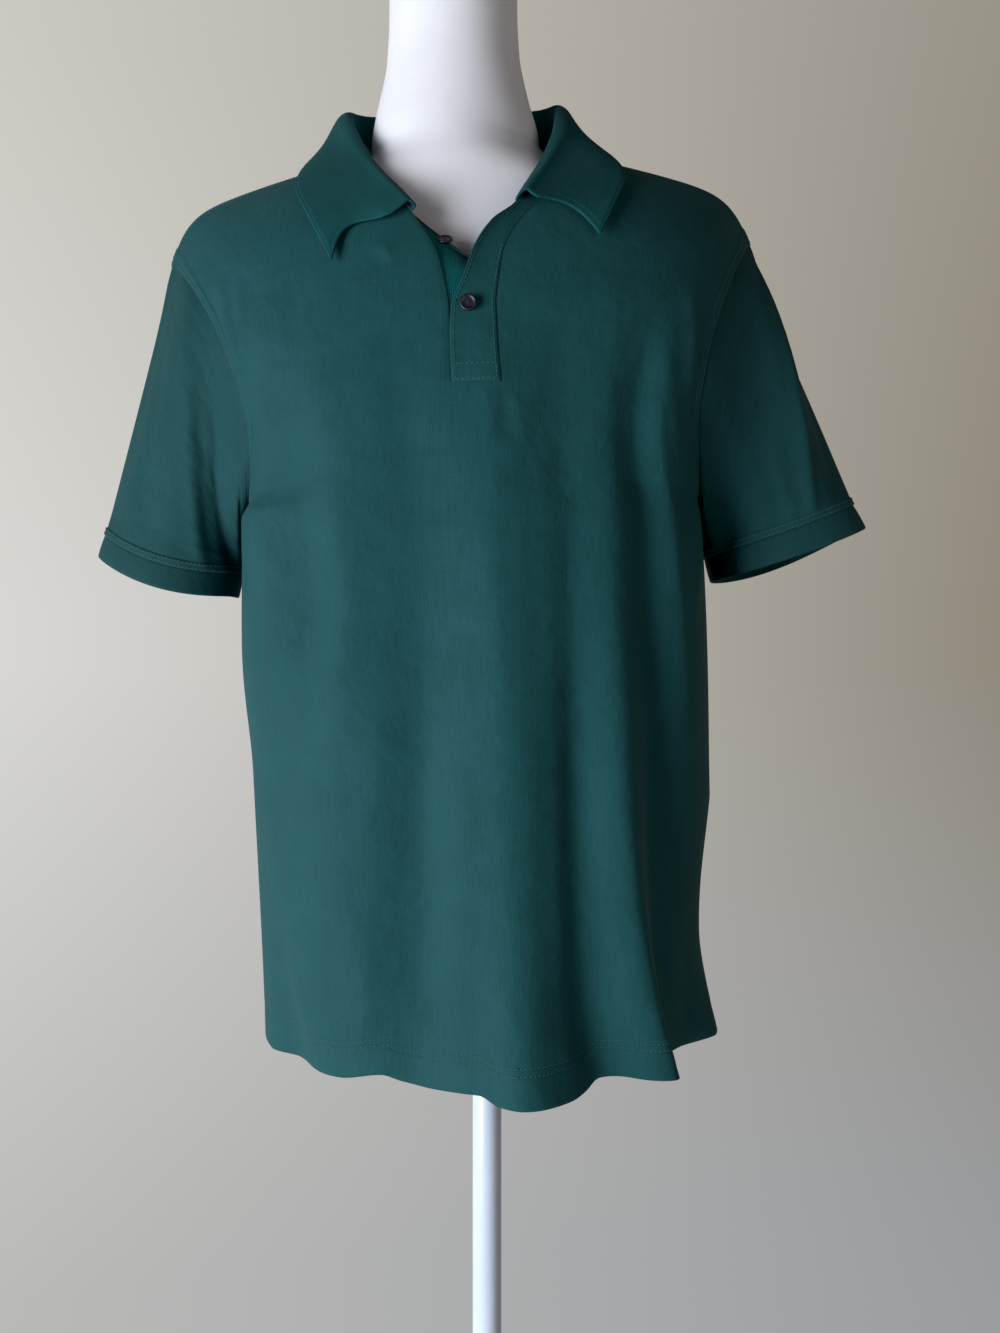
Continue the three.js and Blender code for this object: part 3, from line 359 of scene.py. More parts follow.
class Table:
    """All columns of a table at places between its rows, on a smooth curve that doesn't swing past a row."""

    def __init__(self, rows, columns, key):
        values = np.array(rows, dtype=float)
        self.columns = columns
        self.values = values[np.argsort(values[:, columns.index(key)])]
        self.at = self.values[:, columns.index(key)]
        self.slopes = gentle_slopes(np.diff(self.values, axis=0) / np.diff(self.at)[:, None])

    def __call__(self, at):
        x = np.clip(np.asarray(at, dtype=float), self.at[0], self.at[-1])
        i = np.clip(np.searchsorted(self.at, x, side="left") - 1, 0, len(self.at) - 2)
        span = (self.at[i + 1] - self.at[i])[..., None]
        t = (x[..., None] - self.at[i][..., None]) / span
        start, end = self.values[i], self.values[i + 1]
        found = hermite(t, start, end, span * self.slopes[i], span * self.slopes[i + 1])
        return {name: found[..., n] for n, name in enumerate(self.columns)}


stations = Table(STATIONS, STATION_COLUMNS, "v")
front_stations = Table([row for row in STATIONS if row[0] <= V_NECK_CORNER + 40], STATION_COLUMNS, "zi")
fold_tables = [Table(fold, FOLD_COLUMNS, "z") for fold in FOLDS]
line_tables = [Table(line, LINE_COLUMNS, "z") for line in LINES.values()]
roll_line = Table(ROLL, ROLL_COLUMNS, "u")
free_edge = Table(EDGE, EDGE_COLUMNS, "u")
upper_band = Table(UPPER_BAND, BAND_COLUMNS, "z")
lower_band = Table(LOWER_BAND, BAND_COLUMNS, "z")
form_rings = Table(FORM, FORM_COLUMNS, "z")
hem_drop = Table(HEM_DROP, HEM_DROP_COLUMNS, "g")


def leaned(p):
    """The worn form leans to its right, turns a little to its left and drops one shoulder."""
    x, y, z = p[..., 0], p[..., 1], p[..., 2]
    share = np.clip((z - LEAN["from"]) / LEAN["over"], 0, 1)
    drop = LEAN["tilt"] * smooth((z - 1000) / 250)
    return points(x + LEAN["shift"] * share ** LEAN["power"] - LEAN["turn"] * y, y, z + x * drop)


def round_girth(far):
    """The shorter way round the shirt to a place along its girth."""
    return (far + 3 * GIRTH_HALF) % (2 * GIRTH_HALF) - GIRTH_HALF


def front_lift(g, z):
    """How far the front stands out between its ridges and valleys, on curves that don't swing past them."""
    g, z = np.broadcast_arrays(np.asarray(g, dtype=float), np.asarray(z, dtype=float))
    rows = [table(z) for table in line_tables]
    at = np.stack([row["g"] for row in rows])
    high = np.stack([row["h"] for row in rows])
    slopes = gentle_slopes(np.diff(high, axis=0) / np.diff(at, axis=0))
    total = np.zeros(g.shape)
    for n in range(len(rows) - 1):
        span = at[n + 1] - at[n]
        t = (g - at[n]) / span
        inside = (t >= 0) & (t < 1)
        piece = hermite(np.clip(t, 0, 1), high[n], high[n + 1], span * slopes[n], span * slopes[n + 1])
        total = np.where(inside, piece, total)
    return total


def fold_height(g, z):
    total = front_lift(g, z)
    for table, rows in zip(fold_tables, FOLDS):
        row = table(z)
        lift = row["h"] * bump(round_girth(g - row["g"]), row["w"])
        total = total + np.where(z < rows[0][0], lift, 0)
    return total


def crease_height(g, z):
    """The smaller creases, each along its own line and dying out at both ends."""
    total = np.zeros(np.broadcast(g, z).shape)
    for g0, z0, g1, z1, high, wide in CREASES:
        run = math.hypot(g1 - g0, z1 - z0)
        along = (round_girth(g - g0) * (g1 - g0) + (z - z0) * (z1 - z0)) / run**2
        across = (round_girth(g - g0) * (z1 - z0) - (z - z0) * (g1 - g0)) / run
        fade = np.sin(math.pi * np.clip(along, 0, 1)) ** 0.7
        total = total + high * fade * bump(across, wide)
    return total


def girth_of(across, row):
    """The place along the girth of a share of the half width, whether the front is boxy there or not."""
    full = row["arc"] * 90 * DEGREES
    turn = np.arcsin(np.clip(across ** (row["round"] / 2) * np.sin(full), 0, 1))
    return (turn / (90 * DEGREES)) * (QUARTER_GIRTH - row["xi"]) + row["xi"]


def seam_relief(v, f, arc):
    """The stitched hem's groove and the seam allowance that lies under the cloth along the armhole."""
    from_hem = np.minimum(v, V_BACK_HEM - v)
    groove = bump(from_hem - HEM_ROWS[0], 1.3) + bump(from_hem - HEM_ROWS[1], 1.3)
    allowance = smooth((f - 0.947) / 0.012) * (arc < 0.99)
    return ALLOWANCE_HIGH * allowance - GROOVE_DEEP * groove


def hem_fall(g, z):
    """How much lower the cloth hangs near the hem than a level edge would."""
    return hem_drop(g)["drop"] * smooth((HEM_Z + HEM_REACH - z) / HEM_REACH)


def torso(side, v, f, fine=True):
    """The cloth's outer face on one half of the torso: station v and share f from the centre to the side."""
    v, f = np.broadcast_arrays(np.asarray(v, dtype=float), np.asarray(f, dtype=float))
    row = stations(v)
    full = row["arc"] * 90 * DEGREES
    turn = f * full
    power = 2 / (row["round"] + np.where(np.asarray(side) < 0, row["box"], 0))
    across = (np.sin(np.maximum(turn, 0)) / np.sin(full)) ** power
    inward = (1 - cosine(turn) ** power) / (1 - cosine(full) ** power)
    fall = mix(across ** row["ease"], across**12, row["drop"])
    x = mix(row["xi"], row["xo"], across)
    y = mix(row["yi"], row["yo"], inward)
    z = mix(row["zi"], row["zo"], fall)
    front = v < V_RIDGE
    girth = girth_of(across, row)
    g = side * np.where(front, girth, GIRTH_HALF - girth)
    lift = fold_height(g, z)
    if fine:
        lift = lift + crease_height(g, z) + seam_relief(v, f, row["arc"])
    way = np.where(front, -1, 1)
    return leaned(points(side * (x + np.sin(turn) * lift), y + way * np.cos(turn) * lift, z - hem_fall(g, z)))


def outward(side, v, f):
    """The way the torso's outer face looks at a place."""
    along = torso(side, v + 2, f, False) - torso(side, v - 2, f, False)
    across = torso(side, v, f + 0.02, False) - torso(side, v, f, False)
    return unit(np.cross(across, along) * np.asarray(side)[..., None])


def curve_through(controls, at):
    """A centripetal Catmull-Rom curve through rows of control points, at shares of its length."""
    first = 2 * controls[:, :1] - controls[:, 1:2]
    last = 2 * controls[:, -1:] - controls[:, -2:-1]
    chain = np.concatenate([first, controls, last], axis=1)
    pieces = []
    fine = np.linspace(0, 1, 13)[:, None]
    for n in range(1, chain.shape[1] - 2):
        p0, p1, p2, p3 = (chain[:, n + k, None, :] for k in (-1, 0, 1, 2))
        spans = ((p0, p1), (p1, p2), (p2, p3))
        d0, d1, d2 = (np.linalg.norm(b - a, axis=-1, keepdims=True) ** 0.5 for a, b in spans)
        m1 = (p1 - p0) / d0 - (p2 - p0) / (d0 + d1) + (p2 - p1) / d1
        m2 = (p2 - p1) / d1 - (p3 - p1) / (d1 + d2) + (p3 - p2) / d2
        t = fine[None, :-1] if n < chain.shape[1] - 3 else fine[None]
        pieces.append(hermite(t, p1, p2, m1 * d1, m2 * d1))
    dense = np.concatenate(pieces, axis=1)
    steps = np.linalg.norm(np.diff(dense, axis=1), axis=-1)
    length = np.concatenate([np.zeros((len(dense), 1)), np.cumsum(steps, axis=1)], axis=1)
    out = np.empty((len(dense), len(at), 3))
    for n, row in enumerate(dense):
        share = length[n] / length[n, -1]
        out[n] = np.stack([np.interp(at, share, row[:, k]) for k in range(3)], axis=-1)
    return out


# Meshes


class Mesh:
    """Points, quads and triangles of one piece, with a place on the flat cloth for every point."""

    def __init__(self):
        self.points = np.zeros((0, 3))
        self.cloth = np.zeros((0, 2))
        self.faces = []

    def add(self, places, faces, cloth=None):
        start = len(self.points)
        self.points = np.vstack([self.points, places])
        self.cloth = np.vstack([self.cloth, np.zeros((len(places), 2)) if cloth is None else cloth])
        for group in faces:
            self.faces.append(np.asarray(group) + start)
        return self

    def grid(self, places, cloth, around=False):
        """Quads over rows of points; around joins the last column to the first."""
        rows, columns = places.shape[:2]
        index = np.arange(rows * columns).reshape(rows, columns)
        nexts = np.roll(index, -1, axis=1) if around else index[:, 1:]
        here = index if around else index[:, :-1]
        quads = np.stack([here[:-1], nexts[:-1], nexts[1:], here[1:]], axis=-1).reshape(-1, 4)
        flat = np.stack(np.broadcast_arrays(*cloth), axis=-1).reshape(-1, 2) * MM
        return self.add(places.reshape(-1, 3), [quads], flat)

    def welded(self):
        """Joins points that lie in the same place, such as where two grids share an edge."""
        keys = np.round(self.points, 3)
        _, first, index = np.unique(keys, axis=0, return_index=True, return_inverse=True)
        index = index.reshape(-1)
        self.points = self.points[first]
        self.cloth = self.cloth[first]
        self.faces = [index[group] for group in self.faces]
        return self

    def capped(self, rows, count):
        """Closes both ends of a tube with fans."""
        for row, order in ((0, -1), (rows - 1, 1)):
            index = np.arange(count) + row * count
            fan = np.stack([index, np.roll(index, -1), np.full(count, len(self.points))], axis=-1)
            self.add(self.points[index].mean(axis=0)[None], [])
            self.faces.append(fan[:, ::order])
        return self

    def normals(self):
        total = np.zeros_like(self.points)
        for group in self.faces:
            across = self.points[group[:, 2]] - self.points[group[:, 0]]
            along = self.points[group[:, -1]] - self.points[group[:, 1]]
            face = np.cross(across, along)
            for corner in range(group.shape[1]):
                np.add.at(total, group[:, corner], face)
        return unit(total)

    def walled(self, thick):
        """Gives a sheet of quads its thickness and a rounded rim; the sheet is its outer face."""
        quads = np.vstack(self.faces)
        count = len(self.points)
        thick = np.broadcast_to(np.asarray(thick, dtype=float), (count,))[:, None]
        normal = self.normals()
        inner = self.points - normal * thick
        edges = np.vstack([quads[:, [k, (k + 1) % 4]] for k in range(4)])
        codes = edges[:, 0] * count + edges[:, 1]
        backward = edges[:, 1] * count + edges[:, 0]
        rim = edges[~np.isin(codes, backward)]
        out = np.zeros_like(self.points)
        push = np.cross(self.points[rim[:, 1]] - self.points[rim[:, 0]], normal[rim[:, 0]])
        for corner in (0, 1):
            np.add.at(out, rim[:, corner], unit(push))
        out = unit(out)
        used = np.unique(rim)
        place = np.zeros(count, dtype=int)
        rings = []
        for share, reach in ((0.18, 0.3), (0.5, 0.42), (0.82, 0.3)):
            ring = self.points - normal * thick * share + out * thick * reach
            rings.append(ring[used])
        place[used] = np.arange(len(used))
        parts = [self.points, inner] + rings
        walls = Mesh()
        walls.points = np.vstack(parts)
        walls.cloth = np.vstack([self.cloth, self.cloth] + [self.cloth[used]] * 3)
        starts = [0, 2 * count, 2 * count + len(used), 2 * count + 2 * len(used), count]
        a, b = rim[:, 0], rim[:, 1]
        faces = [quads, quads[:, ::-1] + count]
        for low, high in zip(starts, starts[1:]):
            here = [a, b] if low == 0 else [place[a] + low, place[b] + low]
            there = [a + count, b + count] if high == count else [place[a] + high, place[b] + high]
            faces.append(np.stack([here[1], here[0], there[0], there[1]], axis=-1))
        walls.faces = faces
        return walls

    def build(self, name, material, slot=None, replaces=(), ride=True):
        flat = [face for group in self.faces for face in group.tolist()]
        data = bpy.data.meshes.new(name)
        data.from_pydata((self.points * MM).tolist(), [], flat)
        data.validate()
        corners = np.zeros(len(data.loops), dtype=int)
        data.loops.foreach_get("vertex_index", corners)
        layer = data.uv_layers.new(name="cloth")
        layer.data.foreach_set("uv", self.cloth[corners].astype(np.float32).ravel())
        data.shade_smooth()
        data.materials.append(material)
        piece = bpy.data.objects.new(name, data)
        bpy.context.scene.collection.objects.link(piece)
        if ride:
            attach(piece, "root")
        if replaces:
            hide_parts(*replaces)
        return piece


# Materials

# Pitch of the knit's columns and rows, and of the flat knit's ribs and picots, in millimetres.
WALE = 1.0
COURSE = 0.8
RIB_PITCH = 1.5
PICOT_PITCH = 1.1


def add_node(tree, kind, inputs=(), **settings):
    node = tree.nodes.new(kind)
    for key, value in settings.items():
        setattr(node, key, value)
    for key, value in dict(inputs).items():
        if isinstance(value, bpy.types.NodeSocket):
            tree.links.new(value, node.inputs[key])
        else:
            node.inputs[key].default_value = value
    return node


def add_blend(tree, share, a, b):
    return add_node(tree, "ShaderNodeMix", {0: share, 6: a, 7: b}, data_type="RGBA").outputs[2]


class Shader:
    """A node material built up by short calls. Cloth coordinates are millimetres on the flat cloth."""

    def __init__(self, name, **settings):
        self.material = bpy.data.materials.new(name)
        self.material.use_nodes = True
        self.tree = self.material.node_tree
        self.surface = self.tree.nodes["Principled BSDF"]
        for socket, value in settings.items():
            self.surface.inputs[socket.replace("_", " ")].default_value = value

    def node(self, kind, inputs=(), **settings):
        return add_node(self.tree, kind, inputs, **settings)

    def math(self, operation, a, b=0.0, c=0.0):
        values = {0: a, 1: b}
        if operation == "MULTIPLY_ADD":
            values[2] = c
        return self.node("ShaderNodeMath", values, operation=operation).outputs[0]

    def stretched(self, source, across, along, depth=1.0):
        factors = {0: source, 1: (across, along, depth)}
        scale = self.node("ShaderNodeVectorMath", factors, operation="MULTIPLY")
        return scale.outputs[0]

    def cloth(self):
        return self.node("ShaderNodeUVMap", uv_map="cloth").outputs[0]

    def place(self):
        return self.node("ShaderNodeTexCoord").outputs["Object"]

    def noise(self, vector, scale, detail=2.0, roughness=0.5):
        inputs = {"Vector": vector, "Scale": scale, "Detail": detail, "Roughness": roughness}
        return self.node("ShaderNodeTexNoise", inputs).outputs["Fac"]

    def ramp(self, value, low, high, start=0.0, end=1.0):
        inputs = {"Value": value, "From Min": low, "From Max": high, "To Min": start, "To Max": end}
        return self.node("ShaderNodeMapRange", inputs).outputs["Result"]

    def blend(self, share, a, b):
        return add_blend(self.tree, share, a, b)

    def paint(self, colour):
        self.tree.links.new(colour, self.surface.inputs["Base Color"])

    def relief(self, *layers):
        """Bumps of several heights, each a value, a strength and a depth in metres."""
        normal = None
        for height, strength, depth in layers:
            inputs = {"Height": height, "Strength": strength, "Distance": depth}
            if normal is not None:
                inputs["Normal"] = normal
            normal = self.node("ShaderNodeBump", inputs).outputs[0]
        self.tree.links.new(normal, self.surface.inputs["Normal"])


def rgb(red, green, blue):
    """A colour given as it shows on a screen, from 0 to 255."""
    def linear(value):
        value /= 255
        return value / 12.92 if value < 0.04045 else ((value + 0.055) / 1.055) ** 2.4
    return (linear(red), linear(green), linear(blue), 1.0)


def cloth_shader(name, roughness, specular):
    """The dyed yarn that every cloth shares, and its place on the flat cloth in millimetres."""
    shader = Shader(
        name,
        Roughness=roughness,
        Specular_IOR_Level=specular,
        Specular_Tint=(0.55, 0.9, 0.95, 1),
        Sheen_Weight=0.04,
        Sheen_Roughness=0.5,
        Sheen_Tint=(0.5, 0.82, 0.85, 1),
    )
    return shader, shader.stretched(shader.cloth(), 1000, 1000, 0)


def knitted(name, dark, light):
    """A knitted cloth: columns of loops, a slightly uneven dye and faint streaks along the loops."""
    shader, cloth = cloth_shader(name, 0.78, 0.38)
    clouds = shader.noise(cloth, 0.03, 2, 0.5)
    streaks = shader.noise(shader.stretched(cloth, 0.75, 0.045), 1.0, 3, 0.6)
    specks = shader.noise(cloth, 0.8, 2, 0.6)
    shade = shader.math("MULTIPLY_ADD", clouds, 0.2, 0.15)
    shade = shader.math("MULTIPLY_ADD", streaks, 0.32, shade)
    shade = shader.math("MULTIPLY_ADD", specks, 0.18, shade)
    shader.paint(shader.blend(shader.ramp(shade, 0.38, 0.64), dark, light))
    parts = shader.node("ShaderNodeSeparateXYZ", {0: cloth})
    half_turns = shader.math("MULTIPLY", parts.outputs[0], math.pi / WALE)
    lean = shader.math("ABSOLUTE", shader.math("SINE", half_turns))
    slant = shader.math("MULTIPLY", lean, 3.0)
    along = shader.math("MULTIPLY_ADD", parts.outputs[1], 2 * math.pi / COURSE, slant)
    loops = shader.math("MULTIPLY_ADD", shader.math("SINE", along), 0.3, shader.math("MULTIPLY", lean, 0.7))
    rough = shader.noise(cloth, 0.35, 3, 0.6)
    shader.relief((loops, 0.6, 0.00012), (rough, 0.5, 0.0004), (shader.noise(cloth, 0.05, 2), 0.35, 0.004))
    return shader.material


def ribbed(name, dark, light):
    """A flat knit with fine ribs along the piece and small picots across them."""
    shader, cloth = cloth_shader(name, 0.85, 0.12)
    parts = shader.node("ShaderNodeSeparateXYZ", {0: cloth})
    ribs = shader.math("SINE", shader.math("MULTIPLY", parts.outputs[0], 2 * math.pi / RIB_PITCH))
    picots = shader.math("SINE", shader.math("MULTIPLY", parts.outputs[1], 2 * math.pi / PICOT_PITCH))
    half_ribs = shader.math("MULTIPLY", ribs, 0.5)
    knit = shader.math("MULTIPLY_ADD", shader.math("MULTIPLY", ribs, picots), 0.5, half_ribs)
    clouds = shader.noise(cloth, 0.03, 3, 0.55)
    specks = shader.noise(cloth, 0.9, 2, 0.6)
    shade = shader.math("MULTIPLY_ADD", specks, 0.45, shader.math("MULTIPLY", clouds, 0.55))
    shade = shader.math("MULTIPLY_ADD", knit, 0.03, shade)
    shader.paint(shader.blend(shader.ramp(shade, 0.36, 0.66), dark, light))
    shader.relief((knit, 0.55, 0.00022), (shader.noise(cloth, 0.3, 3, 0.6), 0.4, 0.0005))
    return shader.material


def piqued(name, dark, light):
    """A coarser cloth of small raised cells."""
    shader, cloth = cloth_shader(name, 0.85, 0.12)
    cells = shader.node("ShaderNodeTexVoronoi", {"Vector": cloth, "Scale": 0.72, "Randomness": 0.25})
    near = cells.outputs["Distance"]
    specks = shader.noise(cloth, 0.7, 3, 0.6)
    shade = shader.math("MULTIPLY_ADD", near, 0.5, shader.math("MULTIPLY", specks, 0.6))
    shader.paint(shader.blend(shader.ramp(shade, 0.35, 0.75), dark, light))
    shader.relief((near, 0.7, 0.0004), (specks, 0.3, 0.0004))
    return shader.material


def twisted(name, dark, light):
    """Sewing thread, with its twist."""
    shader = Shader(name, Roughness=0.6, Sheen_Weight=0.2, Specular_IOR_Level=0.35)
    place = shader.stretched(shader.place(), 1000, 1000, 1000)
    wave = {"Vector": place, "Scale": 1.4, "Distortion": 2.0}
    twist = shader.node("ShaderNodeTexWave", wave).outputs["Fac"]
    tone = shader.noise(place, 0.25, 2, 0.6)
    share = shader.math("MULTIPLY_ADD", twist, 0.4, shader.math("MULTIPLY", tone, 0.6))
    shader.paint(shader.blend(share, dark, light))
    shader.relief((twist, 0.5, 0.00015))
    return shader.material


def coated(name, dark, light, roughness, grain, depth, **settings):
    """A smooth moulded or painted surface with a faint grain and slightly uneven gloss."""
    shader = Shader(name, Roughness=roughness, **settings)
    place = shader.stretched(shader.place(), 1000, 1000, 1000)
    clouds = shader.noise(place, 0.01, 3, 0.5)
    specks = shader.noise(place, grain, 2, 0.6)
    shade = shader.math("MULTIPLY_ADD", specks, 0.5, shader.math("MULTIPLY", clouds, 0.5))
    shader.paint(shader.blend(shader.ramp(shade, 0.35, 0.65), dark, light))
    uneven = shader.ramp(shader.noise(place, 0.05, 3), 0.3, 0.7, roughness - 0.05, roughness + 0.06)
    shader.tree.links.new(uneven, shader.surface.inputs["Roughness"])
    shader.relief((specks, 0.35, depth))
    return shader.material


JERSEY_CLOTH = knitted("jersey_cloth", rgb(12, 57, 59), rgb(20, 69, 73))
# The sleeves are the jersey painted darker: painted shade where less light falls on them.
SHADED_SLEEVE_CLOTH = knitted("sleeve_cloth_painted_shade", rgb(10, 51, 53), rgb(17, 62, 65))
# The cuff bands are the jersey painted darker still: painted shade.
SHADED_CUFF_CLOTH = knitted("cuff_cloth_painted_shade", rgb(9, 48, 50), rgb(15, 58, 61))
COLLAR_CLOTH = ribbed("collar_cloth", rgb(17, 63, 65), rgb(27, 77, 79))
# The under band's piqué is its own cloth, its colour raised well above the jersey as painted light, so it
# looks lit where the band lies in shade.
LIT_PIQUE_CLOTH = piqued("pique_cloth_painted_light", rgb(13, 80, 81), rgb(29, 103, 105))
THREAD = twisted("thread", rgb(19, 68, 70), rgb(36, 92, 94))
# Dark thread for the buttons, also used as painted shade on the rolled edge along the neckline.
DARK_THREAD_AND_SHADE = twisted("dark_thread_and_shade", rgb(24, 32, 44), rgb(48, 56, 70))
HOLE_SHADE = coated("button_hole", rgb(8, 9, 14), rgb(16, 18, 24), 0.6, 0.6, 0.00003)
BUTTON_PLASTIC = coated("button_plastic", rgb(12, 15, 23), rgb(26, 30, 39), 0.42, 0.4, 0.00005)
FORM_SHELL = coated("form_shell", rgb(221, 219, 225), rgb(231, 229, 234), 0.6, 0.9, 0.00006,
                    Subsurface_Weight=0.6, Subsurface_Radius=(1, 1, 1), Subsurface_Scale=0.03)
STAND_PAINT = coated(
    "stand_paint", rgb(190, 200, 216), rgb(202, 211, 226), 0.34, 0.7, 0.00004, Coat_Weight=0.15
)


# Front and back panels


def spaced(*stops):
    """Places between stops, each stop with the step that leads to the next."""
    places = []
    for (start, step), (end, _) in zip(stops, stops[1:]):
        count = max(1, round((end - start) / step))
        places.extend(np.linspace(start, end, count, endpoint=False))
    return np.array(places + [stops[-1][0]])


def shares_across(count):
    """Shares from the centre to the edge, close together beside the armhole and side seam."""
    even = np.linspace(0, 0.94, count)
    return np.concatenate([even, np.array([0.948, 0.956, 0.964, 0.971, 0.978, 0.984, 0.99, 0.995, 1.0])])


def panel_rows(side, v, f):
    rows = torso(side, v[:, None], f[None])
    row = stations(v)
    girth = f[None] * row["arc"][:, None] * (QUARTER_GIRTH - row["xi"][:, None]) + row["xi"][:, None]
    front = (v < V_RIDGE)[:, None]
    flat = side * np.where(front, girth, GIRTH_HALF - girth)
    if side < 0:
        return rows[:, ::-1], (flat[:, ::-1], v[:, None])
    return rows, (flat, v[:, None])


def front_centre(v, count):
    row = stations(v)
    x = mix(-row["xi"][:, None], row["xi"][:, None], np.linspace(0, 1, count + 1)[None])
    z = np.broadcast_to(row["zi"][:, None], x.shape)
    lift = fold_height(x, z) + crease_height(x, z)
    places = leaned(points(x, row["yi"][:, None] - lift, z - hem_fall(x, z)))
    return places, (x, np.broadcast_to(v[:, None], x.shape))


def cloth_thickness(mesh):
    """The hem is folded double, so it is thicker there."""
    low = mesh.cloth[:, 1] / MM
    from_hem = np.minimum(low, V_BACK_HEM - low)
    return JERSEY + 1.0 * (1 - smooth((from_hem - HEM_ROWS[1]) / 4))


def front_panel():
    mesh = Mesh()
    low = spaced((0, 2), (15, 0.9), (30, 4), (V_PLACKET, 4))
    left = panel_rows(-1, low, shares_across(62))
    right = panel_rows(1, low, shares_across(76))
    middle = front_centre(low, 8)
    rows = np.concatenate([left[0], middle[0][:, 1:-1], right[0]], axis=1)
    low_v = np.broadcast_to(low[:, None], rows.shape[:2])
    flat = np.concatenate([left[1][0], middle[1][0][:, 1:-1], right[1][0]], axis=1)
    mesh.grid(rows, (flat, low_v))
    for side, count in ((-1, 62), (1, 76)):
        high = spaced((V_PLACKET, 4), (V_SEAM[side] - 12, 1.5), (V_SEAM[side], 1.5))
        mesh.grid(*panel_rows(side, high, shares_across(count)))
    mesh = mesh.welded()
    return mesh.walled(cloth_thickness(mesh))


def back_panel():
    mesh = Mesh()
    for side in (-1, 1):
        seam = V_SEAM[side]
        near_hem = ((V_BACK_HEM - 30, 0.9), (V_BACK_HEM - 15, 2), (V_BACK_HEM, 2))
        rows = spaced((seam, 1.5), (seam + 12, 4), *near_hem)
        mesh.grid(*panel_rows(side, rows, shares_across(58)))
    mesh = mesh.welded()
    return mesh.walled(cloth_thickness(mesh))


# Sleeves and cuff bands


def ring(sleeve, turn, by, scale=1.0):
    """A point of the ring where a sleeve ends; by is how far down the axis from the sleeve's end it lies."""
    side = sleeve["side"]
    up = sleeve["up"] * DEGREES
    out = sleeve["out"] * DEGREES
    outer = np.array([side * math.cos(up), 0, math.sin(up)])
    axis = np.array([side * math.sin(out), 0, -math.cos(out)])
    front = np.sin(turn)
    hang = np.where(front > 0, sleeve["front"], sleeve["back"]) * front**2
    centre = np.array([side * sleeve["cx"], sleeve["cy"], sleeve["cz"]])
    across = (-np.cos(turn) * sleeve["half"] * scale)[..., None] * outer
    down = np.asarray(by + 0 * turn)[..., None] * axis
    return centre + down + across + points(0, -front * sleeve["deep"] * scale, -hang)


def armhole(sleeve, turn):
    """The armhole's edge at a turn from the underarm over the front, and the way the sleeve leaves it."""
    side = sleeve["side"]
    share = turn / (2 * math.pi)
    v = mix(V_UNDERARM, V_BACK_UNDERARM, share)
    edge = torso(side, v, 1.0, False)
    inside = torso(side, v, 0.96, False)
    bottom = bump(np.minimum(share, 1 - share), 0.07)[..., None]
    onward = unit(edge - inside)
    leave = unit(mix(onward, np.array([side * 0.7, 0, 0.7]), bottom))
    lean = sleeve["lean"] * DEGREES
    fall = unit(points(side * math.sin(lean), -0.12 * np.sin(turn), -math.cos(lean)))
    return edge + leave * SEAM, leave, fall


def sleeve_point(name, turn, s):
    sleeve = SLEEVES[name]
    turn, s = np.broadcast_arrays(turn, s)
    edge, leave, fall = armhole(sleeve, turn)
    end = leaned(ring(sleeve, turn, 0))
    axis = end - leaned(ring(sleeve, turn, -1))
    chord = np.linalg.norm(end - edge, axis=-1, keepdims=True)
    start = unit(mix(leave, fall, sleeve["turnDown"])) * chord * sleeve["bulge"]
    point = hermite(s[..., None], edge, end, start, axis * chord * 0.9)
    middle = leaned(points(sleeve["side"] * sleeve["cx"], sleeve["cy"], sleeve["cz"]))
    radial = unit(end - middle)
    degrees = turn / DEGREES
    lift = 0
    for at, to, high, wide in SLEEVE_FOLDS[name]:
        lift = lift + high * bump(degrees - mix(at, to, s), wide)
    lift = lift * np.sin(math.pi * np.minimum(1, s * 1.15)) ** 0.8
    for at, to, high, wide, first, last in SLEEVE_CREASES[name]:
        reach = np.clip((s - first) / (last - first), 0, 1)
        if last < 1:
            fade = np.sin(math.pi * reach) ** 0.6
        else:
            fade = np.sin(math.pi / 2 * np.minimum(1, reach * 3))
        fade = fade * np.clip((1 - s) * 12, 0, 1)
        lift = lift + high * fade * bump(degrees - mix(at, to, s), wide)
    from_end = (1 - s) * np.linalg.norm(end - edge, axis=-1)
    ridge = smooth(from_end / 0.8) * (1 - smooth((from_end - CUFF_RIDGE["wide"]) / 1.2))
    return point + radial * (lift + CUFF_RIDGE["high"] * ridge)[..., None]


def tube_sheet(name, places, turn, down):
    """A sheet round the arm, run so that its outer face looks outwards, with its place on the flat cloth."""
    round_arm = turn / (2 * math.pi) * SLEEVES[name]["half"] * 5.6
    parts = [places, *np.broadcast_arrays(round_arm, down)]
    if SLEEVES[name]["side"] > 0:
        parts = [part[:, ::-1] for part in parts]
    return Mesh().grid(parts[0], parts[1:], around=True)


def sleeve_tube(name):
    turn = np.linspace(0, 2 * math.pi, ARM_STEPS, endpoint=False)[None]
    s = spaced((0, 0.008), (0.06, 0.0125), (0.95, 0.004), (1, 0.004))[:, None]
    places = sleeve_point(name, turn, s)
    return tube_sheet(name, places, turn, SLEEVE_LONG * s).walled(JERSEY)


def cuff_band(name):
    sleeve = SLEEVES[name]
    turn = np.linspace(0, 2 * math.pi, ARM_STEPS, endpoint=False)[None]
    turns, shares = np.broadcast_arrays(turn, np.linspace(0, 1, 13)[:, None])
    crown = 0.006 * np.sin(math.pi * shares) ** 0.6
    places = leaned(ring(sleeve, turns, SEAM + shares * CUFF_BAND, 1 + sleeve["flare"] * shares + crown))
    return tube_sheet(name, places, turns, SLEEVE_LONG + shares * CUFF_BAND).walled(CUFF_THICK)


# Collar


def by_side(side, pair):
    """The value of a pair that belongs to each place's side."""
    return np.where(side < 0, pair[-1], pair[1])


